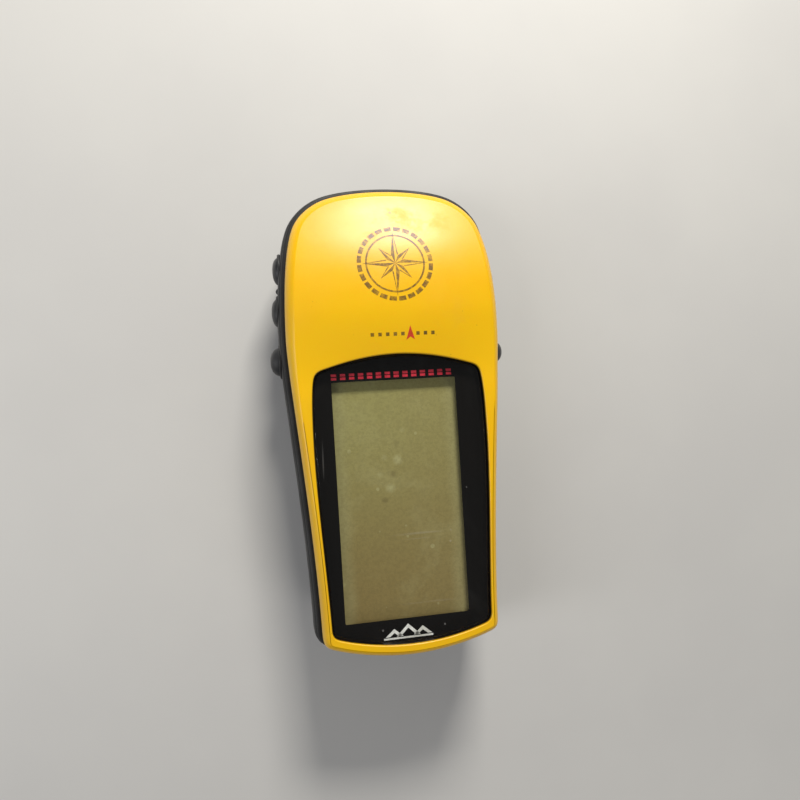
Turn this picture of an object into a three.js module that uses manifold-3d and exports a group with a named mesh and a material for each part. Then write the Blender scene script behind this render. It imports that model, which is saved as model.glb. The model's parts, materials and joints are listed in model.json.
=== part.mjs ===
// A handheld satellite navigator: a moulded front shell with a long display window, a rear housing
// with a two-cell battery bay, a rubber grip band with five side keys, and the parts between them.
// Millimetres. X runs to the right of the display, Y to the top end, Z out of the display.
// The unit lies on its back, and the origin is on that surface under the middle of the unit.
import * as THREE from "three";
import { mergeVertices } from "three/addons/utils/BufferGeometryUtils.js";
import Module from "manifold-3d";

const wasm = await Module();
wasm.setup();

// ---- Driving dimensions ----------------------------------------------------------------------
const SHELL_TOP_Y = 54.4; // half the length of the front shell
const SHELL_HALF_WIDTH = 25.0; // at the widest place, beside the antenna
const RUN = 0.3; // gap between parts that must stay clear of each other

// Heights of the layers, from the back to the front.
const DOOR_EDGE_Z = 2.2; // thickness of the battery door's edge
const DOOR_PLUG_Z = 3.15; // top of the raised middle of the door
const DOOR_LEDGE_Z = 2.8; // where the door's seal meets the rear housing
const LEDGE_TOP_Z = 4.2;
const BACK_EDGE_Z = 7.4; // where the rounding of the back begins
const BAND_BOTTOM_Z = 8.5;
const KEY_Z = 14.5; // centre line of the side keys
const PARTING_Z = 17.0; // top edge of the rear housing
const SKIRT_Z = 17.4; // bottom edge of the front shell
const BAY_CEILING_Z = 18.3;
const BAY_TOP_Z = 19.3;
const BOARD_Z = 19.6;
const BOARD_THICK = 1.0;
const BAND_TOP_Z = 20.9;
const SEAM_Z = 21.2; // visible lower edge of the front shell
const LCD_TOP_Z = 23.7;
const LEDGE_BOTTOM_Z = 23.9; // underside of the ledge that carries the window
const LEDGE_Z = 25.1;
const MASK_Z = 25.15;
const LENS_Z = 25.5;
const LENS_TOP_Z = 27.0;
const RIM_Z = 27.9; // crest of the rim round the window

// Offsets of walls from the outline: negative is inward.
const REBATE = -1.3; // both shells step in here to make room for the band
const SKIRT_INNER = -2.9;
const HOUSING_INNER = -3.1;
const BAND_INNER = -1.0;
const BAND_BULGE = 1.9;

const WINDOW = { x: -0.8, y: -18.4, width: 29.2, height: 55.4 }; // clear opening of the black mask
const CELL = { x: 7.9, z: 10.75, radius: 7.25, length: 50.5, bottom: -43.9 };
const BAY = { x: 15.4, bottom: -48.4, top: 7.3, wall: 1.1, mouthBottom: -46.0 };
const DOOR = { x: 17.2, bottom: -48.0, top: 10.8, corner: 5.0 };
const LATCH = { y: -34.0, dish: 9.4, dishZ: 2.35, pivotZ: 1.25, shaft: 1.3, head: 3.0 };
const PORT = { y: 30.0, well: 4.9, wall: 1.2, wellTop: 12.3, bodyZ: 12.6 };
const CAP = { x: 8.4, bottom: 20.6, top: 41.0, thick: 1.8, corner: 4.0, boss: 3.9, bossTall: 2.2 };

// Side keys: side is -1 on the left and +1 on the right.
const KEYS = [
  { name: "up", side: -1, y: 37.5, tall: 1.5 },
  { name: "down", side: -1, y: 27.4, tall: 1.4 },
  { name: "enter", side: -1, y: 15.5, tall: 2.3 },
  { name: "page", side: 1, y: 34.0, tall: 1.5 },
  { name: "power", side: 1, y: 15.5, tall: 2.3 },
];
const KEY = { y: 2.9, z: 3.5, gap: 0.4, inner: -1.0, pocket: -2.2, stem: 1.3 };

// ---- Materials -------------------------------------------------------------------------------
const paint = (color, roughness, metalness = 0) =>
  new THREE.MeshStandardMaterial({ color, roughness, metalness });
const MATERIALS = {
  yellow: paint(0xf4b50c, 0.38),
  rubber: paint(0x232325, 0.7),
  blackPlastic: paint(0x26272a, 0.5),
  mask: paint(0x0c0c0d, 0.35),
  clear: new THREE.MeshStandardMaterial({
    color: 0xe8eeee, roughness: 0.08, transparent: true, opacity: 0.3,
  }),
  lcd: paint(0x8b8a55, 0.3),
  white: paint(0xd8d8d2, 0.6),
  board: paint(0x1f5a33, 0.5),
  ceramic: paint(0xb9a58c, 0.6),
  chip: paint(0x1a1a1c, 0.45),
  steel: paint(0xc3c6c9, 0.3, 1),
  brass: paint(0xc9a24b, 0.3, 1),
  cell: paint(0x2d3036, 0.35, 0.6),
  seal: paint(0x3b3b3d, 0.8),
};

// ---- Outlines --------------------------------------------------------------------------------
// Each outline is symmetric about the Y axis. Its right half runs from the bottom to the top in six
// cubic stretches: bottom arc, bottom corner, lower side, upper side, top corner and top arc, so
// that points with the same index on two outlines face each other.
const STEPS = [4, 3, 4, 3, 4, 4];

function halfOutline(start, stretches) {
  const path = new THREE.Path();
  path.moveTo(...start);
  stretches.forEach((s) => path.bezierCurveTo(...s));
  return path;
}

const BODY = halfOutline([0, -SHELL_TOP_Y], [
  [6.5, -SHELL_TOP_Y, 13.4, -53.1, 18.2, -51.4],
  [20.6, -50.6, 20.7, -49.8, 20.7, -46.8],
  [21.3, -20.4, SHELL_HALF_WIDTH, 10.7, SHELL_HALF_WIDTH, 18.9],
  [SHELL_HALF_WIDTH, 26.6, 24.5, 39.6, 22.2, 45.6],
  [20.95, 48.8, 17.9, 51.5, 14.3, 52.7],
  [10.5, 53.9, 5, SHELL_TOP_Y, 0, SHELL_TOP_Y],
]);
const WINDOW_EDGE = halfOutline([0, -51.3], [
  [6.0, -51.3, 11.9, -50.3, 16.7, -48.7],
  [18.3, -48.2, 18.6, -47.4, 18.6, -45.6],
  [19.0, -32, 20.2, -18, 20.2, -4.9],
  [20.2, 1.1, 20.0, 7.0, 19.6, 9.2],
  [19.3, 11.5, 18.4, 11.9, 16.6, 12.4],
  [11.7, 13.9, 6, 15.1, 0, 15.1],
]);
const BACK = halfOutline([0, -50.0], [
  [4.5, -50.0, 8.0, -49.8, 11.0, -49.3],
  [15.6, -48.4, 18.0, -45.5, 18.1, -40.5],
  [18.2, -20, 19.4, 6, 19.4, 14],
  [19.4, 24, 18.8, 31, 17.2, 37.5],
  [15.8, 43.0, 12.6, 46.2, 8.5, 47.2],
  [6, 47.8, 3, 48.0, 0, 48.0],
]);

// The closed outline as {point, normal}, anticlockwise, with the outward normal at each point.
function sample(half) {
  const right = [];
  half.curves.forEach((curve, i) => {
    for (let k = 0; k < STEPS[i]; k++) {
      const t = k / STEPS[i];
      const tangent = curve.getTangent(t);
      right.push({ point: curve.getPoint(t), normal: new THREE.Vector2(tangent.y, -tangent.x) });
    }
  });
  const top = half.curves.at(-1).getPoint(1);
  right.push({ point: top, normal: new THREE.Vector2(0, 1) });
  const left = right.slice(1, -1).reverse().map(({ point, normal }) => ({
    point: new THREE.Vector2(-point.x, point.y),
    normal: new THREE.Vector2(-normal.x, normal.y),
  }));
  return [...right, ...left];
}

const body = sample(BODY);
const windowEdge = sample(WINDOW_EDGE);
const back = sample(BACK);

const offset = (outline, d) =>
  outline.map(({ point, normal }) => point.clone().addScaledVector(normal, d));
const between = (a, b, share) => a.map((p, i) => p.clone().lerp(b[i], share));
const scaled = (points, kx, ky) => points.map((p) => new THREE.Vector2(p.x * kx, p.y * ky));
const atZ = (points, z) =>
  points.map((p) => new THREE.Vector3(p.x, p.y, typeof z === "function" ? z(p.x, p.y) : z));

// Half the body's width at a height along the unit.
function halfWidth(y) {
  const side = [...BODY.curves[2].getPoints(60), ...BODY.curves[3].getPoints(60)];
  return side.reduce((best, p) => (Math.abs(p.y - y) < Math.abs(best.y - y) ? p : best)).x;
}

// ---- Surfaces --------------------------------------------------------------------------------
// Front: the rim stands at RIM_Z beside the window; above it the shell swells into a dome over the
// antenna that falls away towards the top end and the sides.
const smooth = (t) => {
  const c = Math.min(Math.max(t, 0), 1);
  return c * c * (3 - 2 * c);
};
function frontZ(x, y) {
  const swell = 1.9 * smooth((y - 8) / 18);
  const fall = 5.6 * smooth((y - 24) / 34) ** 1.5;
  const crown = 1.5 * smooth((y - 4) / 20) * (x / SHELL_HALF_WIDTH) ** 2;
  return RIM_Z + swell - fall - crown;
}
// Back: flat under the battery door, and rising towards the top end above it.
const backRise = (y) => 5.0 * (Math.max(y - 12, 0) / 40) ** 2;

// ---- Solids ----------------------------------------------------------------------------------
function geometryOf(vertices, triangles) {
  const geometry = new THREE.BufferGeometry();
  geometry.setAttribute("position", new THREE.Float32BufferAttribute(vertices, 3));
  geometry.setIndex(triangles);
  return geometry;
}

// A closed body through rings of points, with a flat or domed fan at each end.
function stack(rings) {
  const n = rings[0].length;
  const vertices = rings.flat().flatMap((p) => [p.x, p.y, p.z]);
  const triangles = [];
  for (let r = 0; r + 1 < rings.length; r++) {
    for (let i = 0; i < n; i++) {
      const a = r * n + i;
      const b = r * n + ((i + 1) % n);
      triangles.push(a, b, b + n, a, b + n, a + n);
    }
  }
  const cap = (ring, first, reverse) => {
    const centre = ring.reduce((sum, p) => sum.add(p), new THREE.Vector3()).divideScalar(n);
    const c = vertices.length / 3;
    vertices.push(centre.x, centre.y, centre.z);
    for (let i = 0; i < n; i++) {
      const pair = [first + i, first + ((i + 1) % n)];
      triangles.push(...(reverse ? pair.reverse() : pair), c);
    }
  };
  cap(rings[0], 0, true);
  cap(rings.at(-1), (rings.length - 1) * n, false);
  return geometryOf(vertices, triangles);
}

// A closed hoop through rings of points: the last ring joins the first.
function hoop(rings) {
  const n = rings[0].length;
  const vertices = rings.flat().flatMap((p) => [p.x, p.y, p.z]);
  const triangles = [];
  rings.forEach((_, r) => {
    const next = (r + 1) % rings.length;
    for (let i = 0; i < n; i++) {
      const j = (i + 1) % n;
      triangles.push(r * n + i, r * n + j, next * n + j, r * n + i, next * n + j, next * n + i);
    }
  });
  return geometryOf(vertices, triangles);
}

function solid(geometry) {
  const bare = (geometry.index ? geometry.toNonIndexed() : geometry.clone());
  bare.deleteAttribute("normal");
  bare.deleteAttribute("uv");
  const merged = mergeVertices(bare, 1e-4);
  return new wasm.Manifold(new wasm.Mesh({
    numProp: 3,
    vertProperties: merged.attributes.position.array,
    triVerts: new Uint32Array(merged.index.array),
  }));
}

function meshOf(shape) {
  const { numProp, vertProperties, triVerts } = shape.getMesh();
  const count = vertProperties.length / numProp;
  const vertices = [];
  for (let i = 0; i < count; i++) {
    vertices.push(...vertProperties.subarray(i * numProp, i * numProp + 3));
  }
  return geometryOf(vertices, [...triVerts]);
}

const cut = (base, ...tools) => tools.reduce((s, t) => s.subtract(t), base);
const join = (base, ...more) => more.reduce((s, t) => s.add(t), base);

// A box given by its lowest and highest corners.
function box([x0, y0, z0], [x1, y1, z1]) {
  const g = new THREE.BoxGeometry(x1 - x0, y1 - y0, z1 - z0);
  g.translate((x0 + x1) / 2, (y0 + y1) / 2, (z0 + z1) / 2);
  return solid(g);
}
const slab = (x, y0, y1, z0, z1) => box([-x, y0, z0], [x, y1, z1]);

// An upright cylinder, or one lying along X when `along` says so.
function rod(radius, from, to, [u, v], along = "z", sides = 20) {
  const g = new THREE.CylinderGeometry(radius, radius, to - from, sides);
  g.translate(0, (from + to) / 2, 0);
  if (along === "z") g.rotateX(Math.PI / 2).translate(u, v, 0);
  if (along === "x") g.rotateZ(-Math.PI / 2).translate(0, u, v);
  return solid(g);
}

// A plate with rounded corners between two heights.
function plate({ x, bottom, top, corner }, z0, z1, steps = 4) {
  const shape = new THREE.Shape();
  shape.moveTo(-x + corner, bottom);
  shape.lineTo(x - corner, bottom);
  shape.absarc(x - corner, bottom + corner, corner, -Math.PI / 2, 0);
  shape.absarc(x - corner, top - corner, corner, 0, Math.PI / 2);
  shape.absarc(-x + corner, top - corner, corner, Math.PI / 2, Math.PI);
  shape.absarc(-x + corner, bottom + corner, corner, Math.PI, 1.5 * Math.PI);
  const g = new THREE.ExtrudeGeometry(shape, {
    depth: z1 - z0, bevelEnabled: false, curveSegments: steps,
  });
  return solid(g.translate(0, 0, z0));
}
const grown = (p, by) => ({
  x: p.x + by, bottom: p.bottom - by, top: p.top + by, corner: p.corner + by,
});

// ---- The assembly ----------------------------------------------------------------------------
const unit = new THREE.Group();
function add(name, shape, material) {
  const geometry = shape instanceof THREE.BufferGeometry ? shape : meshOf(shape);
  const mesh = new THREE.Mesh(geometry, MATERIALS[material]);
  mesh.name = name;
  unit.add(mesh);
  return mesh;
}

// -- Front shell: rim, dome and skirt in one moulding, with bosses for the board screws
const BOARD_SCREWS = [[-15.5, 43.0], [15.5, 43.0], [-17.6, 22.6], [17.6, 22.6]];

function frontShell() {
  const wall = offset(body, 0);
  const pocket = offset(windowEdge, 0);
  const crest = offset(windowEdge, 0.7);
  const shoulder = offset(body, -1.5);
  const edgeFall = [[-1.05, 0.3], [-0.55, 0.95], [-0.15, 2.0], [0, 3.3]];
  const outside = hoop([
    atZ(offset(windowEdge, -1.6), LEDGE_BOTTOM_Z),
    atZ(offset(windowEdge, -1.6), LEDGE_Z),
    atZ(pocket, LEDGE_Z),
    atZ(pocket, RIM_Z - 0.45),
    atZ(offset(windowEdge, 0.2), (x, y) => frontZ(x, y) - 0.15),
    atZ(crest, frontZ),
    ...[0.35, 0.6, 0.82].map((t) => atZ(between(crest, shoulder, t), frontZ)),
    atZ(shoulder, frontZ),
    ...edgeFall.map(([d, drop]) => atZ(offset(body, d), (x, y) => frontZ(x, y) - drop)),
    atZ(wall, SEAM_Z),
    atZ(offset(body, REBATE), SEAM_Z),
    atZ(offset(body, REBATE), SKIRT_Z),
    atZ(offset(body, SKIRT_INNER), SKIRT_Z),
    atZ(offset(body, SKIRT_INNER), LEDGE_BOTTOM_Z),
  ].reverse());
  // The hollow over the antenna follows the dome, 2 mm under it.
  const hollow = { x: 18.6, bottom: 17.6, top: 49.0, corner: 7.0 };
  const rimOf = (p) => {
    const points = [];
    [[1, -1, -90], [1, 1, 0], [-1, 1, 90], [-1, -1, 180]].forEach(([sx, sy, from]) => {
      for (let k = 0; k <= 4; k++) {
        const a = THREE.MathUtils.degToRad(from + 22.5 * k);
        points.push(new THREE.Vector2(
          sx * (p.x - p.corner) + p.corner * Math.cos(a),
          (sy > 0 ? p.top - p.corner : p.bottom + p.corner) + p.corner * Math.sin(a),
        ));
      }
    });
    return points;
  };
  const rim = rimOf(hollow);
  const middle = new THREE.Vector2(0, (hollow.bottom + hollow.top) / 2);
  const toMiddle = (share) => rim.map((p) => p.clone().lerp(middle, share));
  const roof = (x, y) => frontZ(x, y) - 2.0;
  const dome = solid(stack([
    atZ(rim, LEDGE_BOTTOM_Z - 1),
    atZ(rim, (x, y) => roof(x, y) - 1.2),
    atZ(toMiddle(0.08), (x, y) => roof(x, y) - 0.3),
    atZ(toMiddle(0.2), roof),
    atZ(toMiddle(0.6), roof),
  ]));
  const bosses = BOARD_SCREWS.map((at) =>
    rod(2.3, BOARD_Z + BOARD_THICK + 0.15, 25.4, at, "z", 12));
  const pilots = BOARD_SCREWS.map((at) => rod(1.15, BOARD_Z, 24.4, at, "z", 12));
  const pockets = KEYS.map(({ side, y }) =>
    keyPrism(side, y, halfWidth(y) + KEY.pocket, halfWidth(y) + 3, KEY.gap));
  return cut(join(cut(solid(outside), dome), ...bosses), ...pilots, ...pockets);
}
add("front_shell", frontShell(), "yellow");

// -- Window: clear lens on a black printed mask
const inEdge = (d, z) => atZ(offset(windowEdge, d), z);
add("display_lens", stack([
  inEdge(-0.25, LENS_Z), inEdge(-0.25, LENS_TOP_Z - 0.3), inEdge(-0.55, LENS_TOP_Z),
]), "clear");
const around = (x, y, z0, z1) =>
  box([WINDOW.x - x, WINDOW.y - y, z0], [WINDOW.x + x, WINDOW.y + y, z1]);
add("lens_mask", cut(
  solid(stack([inEdge(-0.3, MASK_Z), inEdge(-0.3, LENS_Z - 0.05)])),
  around(WINDOW.width / 2, WINDOW.height / 2, 20, 30),
), "mask");

// -- Display: glass, backlight and the tray that holds them on the board
add("lcd_panel", around(15.2, 28.4, 21.6, LCD_TOP_Z), "lcd");
add("backlight_panel", around(15.0, 28.2, 20.85, 21.5), "white");
add("lcd_tray", cut(around(16.2, 29.3, 20.75, LCD_TOP_Z), around(15.4, 28.6, 20, 25)), "white");
add("lcd_connector", box([-12, 11.6, 20.75], [12, 13.4, 23.4]), "rubber");

// -- Board and what is on it
const boardEdge = scaled(offset(body, 0), 0.825, 0.915);
const board = cut(
  solid(stack([atZ(boardEdge, BOARD_Z), atZ(boardEdge, BOARD_Z + BOARD_THICK)])),
  ...BOARD_SCREWS.map((at) => rod(1.3, 19, 21, at, "z", 12)),
);
add("main_board", board, "board");
const PATCH = { half: 12.0, y0: 19.6, y1: 43.6, z0: 21.0, z1: 24.4 };
add("antenna_pad", slab(PATCH.half, PATCH.y0, PATCH.y1, 20.65, 20.95), "seal");
add("antenna_patch", cut(
  slab(PATCH.half, PATCH.y0, PATCH.y1, PATCH.z0, PATCH.z1),
  box([8.7, PATCH.y0 - 1, 20.5], [13, PATCH.y0 + 1.8, 25]),
), "ceramic");
const CAN = { x: 12.5, y0: 9.4, y1: 23.4, z: 16.9 };
add("rf_shield", cut(
  slab(CAN.x, CAN.y0, CAN.y1, CAN.z, BOARD_Z - 0.1),
  slab(CAN.x - 0.3, CAN.y0 + 0.3, CAN.y1 - 0.3, CAN.z + 0.3, BOARD_Z + 1),
), "steel");
add("processor_chip", box([-10, 10.5, 18.3], [0, 20.5, BOARD_Z - 0.1]), "chip");
add("receiver_chip", box([3.5, 12, 18.4], [9.5, 18, BOARD_Z - 0.1]), "chip");
add("memory_chip", box([-13.5, 27, 18.3], [-7.5, 38, BOARD_Z - 0.1]), "chip");
add("crystal_can", box([8.2, 26, 17.6], [11.8, 31, BOARD_Z - 0.1]), "steel");
add("backup_cell", rod(4.7, 16.8, BOARD_Z - 0.1, [8.0, 41.0]), "steel");

BOARD_SCREWS.forEach((at, i) => {
  const screw = join(rod(1.9, 18.3, BOARD_Z - 0.05, at, "z", 12), rod(1.0, 19, 24.0, at, "z", 12));
  const cross = [
    box([at[0] - 1.2, at[1] - 0.25, 18], [at[0] + 1.2, at[1] + 0.25, 18.8]),
    box([at[0] - 0.25, at[1] - 1.2, 18], [at[0] + 0.25, at[1] + 1.2, 18.8]),
  ];
  add(`board_screw_${i + 1}`, cut(screw, ...cross), "steel");
});

// -- Rear housing
const latchAt = [0, LATCH.y];
const portAt = [0, PORT.y];
const DOOR_TABS = [[-12.5, -7.5], [7.5, 12.5]];

// The outside of the housing below the band, rounded in to the flat of the back.
function backRings(sideInset, backInset, zShift, rounds) {
  const side = offset(body, sideInset);
  const flat = offset(back, backInset);
  const rings = [];
  for (let k = 0; k <= rounds; k++) {
    const a = (k / rounds) * (Math.PI / 2);
    const level = BACK_EDGE_Z * (1 - Math.sin(a));
    const fade = 1 - level / BACK_EDGE_Z;
    rings.push(atZ(
      between(side, flat, 1 - Math.cos(a)),
      (x, y) => level + zShift * fade + backRise(y) * fade,
    ));
  }
  [0.35, 0.75].forEach((share) => {
    rings.push(atZ(scaled(flat, 1 - share, 1 - share), (x, y) => zShift + backRise(y)));
  });
  return rings.reverse();
}

function rearHousing() {
  const outside = solid(stack([
    ...backRings(0.35, 0, 0, 5),
    atZ(offset(body, 0.35), BAND_BOTTOM_Z - RUN),
    atZ(offset(body, REBATE), BAND_BOTTOM_Z - RUN),
    atZ(offset(body, REBATE), PARTING_Z),
  ]));
  const inside = solid(stack([
    ...backRings(HOUSING_INNER, -2.0, 1.9, 3),
    atZ(offset(body, HOUSING_INNER), PARTING_Z + 1),
  ]));
  const bayTop = BAY.top + BAY.wall;
  const bay = slab(BAY.x + BAY.wall, BAY.bottom - BAY.wall, bayTop, DOOR_LEDGE_Z, BAY_TOP_Z);
  const tabBlock = slab(14.0, BAY.top, 14.0, 1.0, 6.0);
  const well = rod(PORT.well + PORT.wall, 2.0, PORT.wellTop, portAt, "z", 24);
  const capSeat = plate(grown(CAP, 1.5), 1.0, 5.4);
  const doorWall = plate(grown(DOOR, 1.4), 1.0, LEDGE_TOP_Z);
  const upper = atZ(offset(body, SKIRT_INNER - RUN), PARTING_Z - 1);
  const allowed = outside.add(solid(stack([upper, upper.map((p) => p.clone().setZ(BAY_TOP_Z))])));
  const walls = join(cut(outside, inside), join(bay, tabBlock, well, capSeat, doorWall)
    .intersect(allowed));
  const mouth = slab(BAY.x, BAY.mouthBottom, BAY.top, -1, LEDGE_TOP_Z + 0.1);
  const room = slab(BAY.x, BAY.bottom, BAY.top, LEDGE_TOP_Z, BAY_CEILING_Z);
  const recess = plate(grown(DOOR, RUN), -1, DOOR_LEDGE_Z);
  const tabPockets = DOOR_TABS.map(([x0, x1]) =>
    box([x0 - 0.4, DOOR.top - 2.4, 1.9], [x1 + 0.4, DOOR.top + 2.4, 4.9]));
  const capRecess = solid(stack([
    atZ(capRim(RUN + 0.05), -1),
    atZ(capRim(RUN + 0.05), (x, y) => backRise(y) + CAP.thick + RUN),
  ]));
  const anchorHole = capAnchor(RUN);
  const socket = rod(PORT.well, 0, PORT.wellTop + 1, portAt, "z", 24);
  const keyHoles = KEYS.flatMap(({ side, y }) => {
    const x = halfWidth(y);
    return [
      keyPrism(side, y, x + KEY.pocket, x + 3, KEY.gap),
      rod(KEY.stem + 0.3, side < 0 ? -x - 1 : 15, side < 0 ? -15 : x + 1, [y, KEY_Z], "x", 16),
    ];
  });
  const hollowed = cut(walls, mouth, room, recess, ...tabPockets,
    capRecess, anchorHole, socket, ...keyHoles);
  // A rib between the two cells carries the plate that the door's latch post enters.
  const y = LATCH.y;
  const rib = slab(0.35, y - 12, y + 12, 5.0, BAY_CEILING_Z + 0.5);
  const pillars = [slab(1.9, y - 5.2, y - 3.4, 5.0, 6.1), slab(1.9, y + 3.4, y + 5.2, 5.0, 6.1)];
  const catchPlate = slab(2.75, y - 5.2, y + 5.2, 4.6, 5.2);
  const postHole = rod(2.15, 4, 8.2, latchAt);
  return join(hollowed, cut(join(rib, ...pillars, catchPlate), postHole));
}

// The oval plug that ends the cap's strap, set into the back and flush with it.
function capAnchor(by) {
  const g = new THREE.CylinderGeometry(1, 1, 1, 16);
  g.rotateX(Math.PI / 2);
  g.scale(2.6 + by, 1.1 + by, 1.3 + 3 * by);
  return solid(g.translate(0, 43.4, backRise(43.4) + (1.3 + by) / 2 - (by > 0 ? 0.5 : 0)));
}

// The outline of the port cap, grown by a margin, as a ring of points.
function capRim(by) {
  const { x, bottom, top, corner } = grown(CAP, by);
  const points = [];
  const corners = [[1, bottom, -90], [1, top, 0], [-1, top, 90], [-1, bottom, 180]];
  corners.forEach(([sx, edge, from]) => {
    const cy = edge === top ? top - corner : bottom + corner;
    for (let k = 0; k <= 5; k++) {
      const a = THREE.MathUtils.degToRad(from + 18 * k);
      points.push(new THREE.Vector2(
        sx * (x - corner) + corner * Math.cos(a), cy + corner * Math.sin(a)));
    }
  });
  return points;
}

// An oval prism along X through a side key's place, between two distances from the middle.
function keyPrism(side, y, x0, x1, gap) {
  const g = new THREE.CylinderGeometry(1, 1, x1 - x0, 20);
  g.rotateZ(Math.PI / 2).scale(1, KEY.y + gap, KEY.z + gap);
  g.translate((side * (x0 + x1)) / 2, y, KEY_Z);
  return solid(g);
}
add("rear_housing", rearHousing(), "blackPlastic");
add("housing_seal", hoop([
  atZ(offset(body, -2.85), PARTING_Z + 0.05),
  atZ(offset(body, -2.3), PARTING_Z + 0.05),
  atZ(offset(body, -2.3), SKIRT_Z - 0.05),
  atZ(offset(body, -2.85), SKIRT_Z - 0.05),
]), "seal");

// -- Grip band round the joint of the two shells, with a hole for each key
const bandProfile = [
  [BAND_INNER, BAND_BOTTOM_Z], [0.45, BAND_BOTTOM_Z], [1.1, 9.3], [1.65, 11.5],
  [BAND_BULGE, KEY_Z], [1.8, 17.8], [1.4, 20.1], [0.9, BAND_TOP_Z], [BAND_INNER, BAND_TOP_Z],
];
add("grip_band", cut(
  solid(hoop(bandProfile.map(([d, z]) => atZ(offset(body, d), z)))),
  ...KEYS.map(({ side, y }) => keyPrism(side, y, halfWidth(y) - 4, halfWidth(y) + 5, KEY.gap)),
), "rubber");

// -- Side keys, each with the switch behind it
function keyCap({ side, y, tall }) {
  const x = halfWidth(y);
  const flush = x + BAND_BULGE;
  const profile = [
    [0, x - 4.15], [KEY.stem, x - 4.15], [KEY.stem, x + KEY.inner], [KEY.y, x + KEY.inner],
    [KEY.y, flush - 0.5], [KEY.y * 0.93, flush - 0.1 + tall * 0.25],
    [KEY.y * 0.75, flush - 0.1 + tall * 0.62], [KEY.y * 0.42, flush - 0.05 + tall * 0.92],
    [0, flush + tall],
  ].map(([r, h]) => new THREE.Vector2(r, h));
  const g = new THREE.LatheGeometry(profile, 20);
  g.scale(1, 1, KEY.z / KEY.y);
  g.rotateZ(side < 0 ? Math.PI / 2 : -Math.PI / 2);
  return g.translate(0, y, KEY_Z);
}
KEYS.forEach((key) => {
  const { name, side, y } = key;
  const x = halfWidth(y);
  const face = x - 5.2; // outer face of the switch
  add(`button_${name}`, solid(keyCap(key)), "rubber");
  const span = (a, b) => (side < 0 ? [-b, -a] : [a, b]);
  const [b0, b1] = span(face - 3.4, face);
  const [h0, h1] = span(face - 2.2, face + 1);
  add(`switch_${name}`, cut(
    box([b0, y - 2.6, 12.4], [b1, y + 2.6, BOARD_Z - 0.1]),
    rod(1.05, h0, h1, [y, KEY_Z], "x", 12),
  ), "chip");
  const [p0, p1] = span(face - 1.2, face + 0.95);
  add(`plunger_${name}`, rod(0.9, p0, p1, [y, KEY_Z], "x", 12), "white");
});

// -- Battery door: a plate with a raised plug, two tabs, and a dish for the latch ring
function batteryDoor() {
  const edge = { ...DOOR };
  const panel = join(
    plate(grown(edge, -0.5), 0, 0.5),
    plate(edge, 0.45, DOOR_EDGE_Z),
    plate({ x: 14.8, bottom: -45.6, top: BAY.top - 0.5, corner: 3 }, 2.0, DOOR_PLUG_Z),
  );
  const boss = rod(LATCH.head + 0.9, 2.0, 3.9, latchAt, "z", 24);
  const tabs = DOOR_TABS.map(([x0, x1]) => join(
    box([x0, DOOR.top - 1.5, 1.5], [x1, DOOR.top - 0.7, 3.2]),
    box([x0, DOOR.top - 1.5, 2.4], [x1, DOOR.top + 1.8, 3.2]),
  ));
  const dish = rod(LATCH.dish, -1, LATCH.dishZ, latchAt, "z", 36);
  const headSeat = rod(LATCH.head + 0.3, -1, 2.95, latchAt, "z", 24);
  const shaftHole = rod(LATCH.shaft + 0.15, -1, 5, latchAt);
  return cut(join(panel, boss, ...tabs), dish, headSeat, shaftHole);
}
add("battery_door", batteryDoor(), "blackPlastic");
add("door_seal", cut(
  plate({ x: 16.8, bottom: -47.6, top: 8.6, corner: 4.6 }, DOOR_EDGE_Z + 0.05, DOOR_LEDGE_Z - 0.05),
  plate({ x: 15.8, bottom: -46.6, top: 7.6, corner: 3.6 }, 1, 4),
), "seal");

// -- Latch: post, folding ring, its seal and the clip that keeps the post in the door
const tipHole = rod(0.85, -4, 4, [LATCH.y, LATCH.pivotZ], "x", 16);
add("latch_post", cut(join(
  rod(LATCH.head, 0.25, 2.85, latchAt, "z", 24),
  rod(LATCH.shaft, 2.5, 6.0, latchAt),
  slab(1.0, LATCH.y - 1.7, LATCH.y + 1.7, 5.4, 6.0),
), tipHole.subtract(slab(1.4, -60, 0, -5, 5))), "steel");

// The ring's wire runs from a tip in one side of the post, round a D, to a tip in the other.
function latchRing() {
  const wire = 0.75;
  const arm = 5.6; // half the width of the ring at its arms
  const reach = 8.3; // distance from the pivot to the middle of the bow
  const points = [
    [-1.9, 0], [1 - arm, 0], [-arm, 0.9], [-arm, 4.2], [1 - arm, 6.8], [-2.8, reach - 0.2],
    [0, reach], [2.8, reach - 0.2], [arm - 1, 6.8], [arm, 4.2], [arm, 0.9], [arm - 1, 0], [1.9, 0],
  ];
  const path = new THREE.CatmullRomCurve3(
    points.map(([x, y]) => new THREE.Vector3(x, LATCH.y + y, LATCH.pivotZ)), false, "centripetal");
  const section = new THREE.Shape();
  section.absarc(0, 0, wire, 0, 2 * Math.PI);
  return new THREE.ExtrudeGeometry(section, { steps: 30, extrudePath: path, curveSegments: 4 });
}
add("latch_ring", solid(latchRing()), "steel");
add("latch_clip", cut(
  rod(2.6, 4.0, 4.4, latchAt, "z", 24),
  rod(LATCH.shaft + 0.1, 3, 5, latchAt),
  box([-0.9, LATCH.y, 3], [0.9, LATCH.y + 4, 5]),
), "steel");
add("latch_seal", cut(
  rod(2.7, 2.86, 2.94, latchAt, "z", 24),
  rod(LATCH.shaft + 0.1, 2, 4, latchAt),
), "seal");

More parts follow.
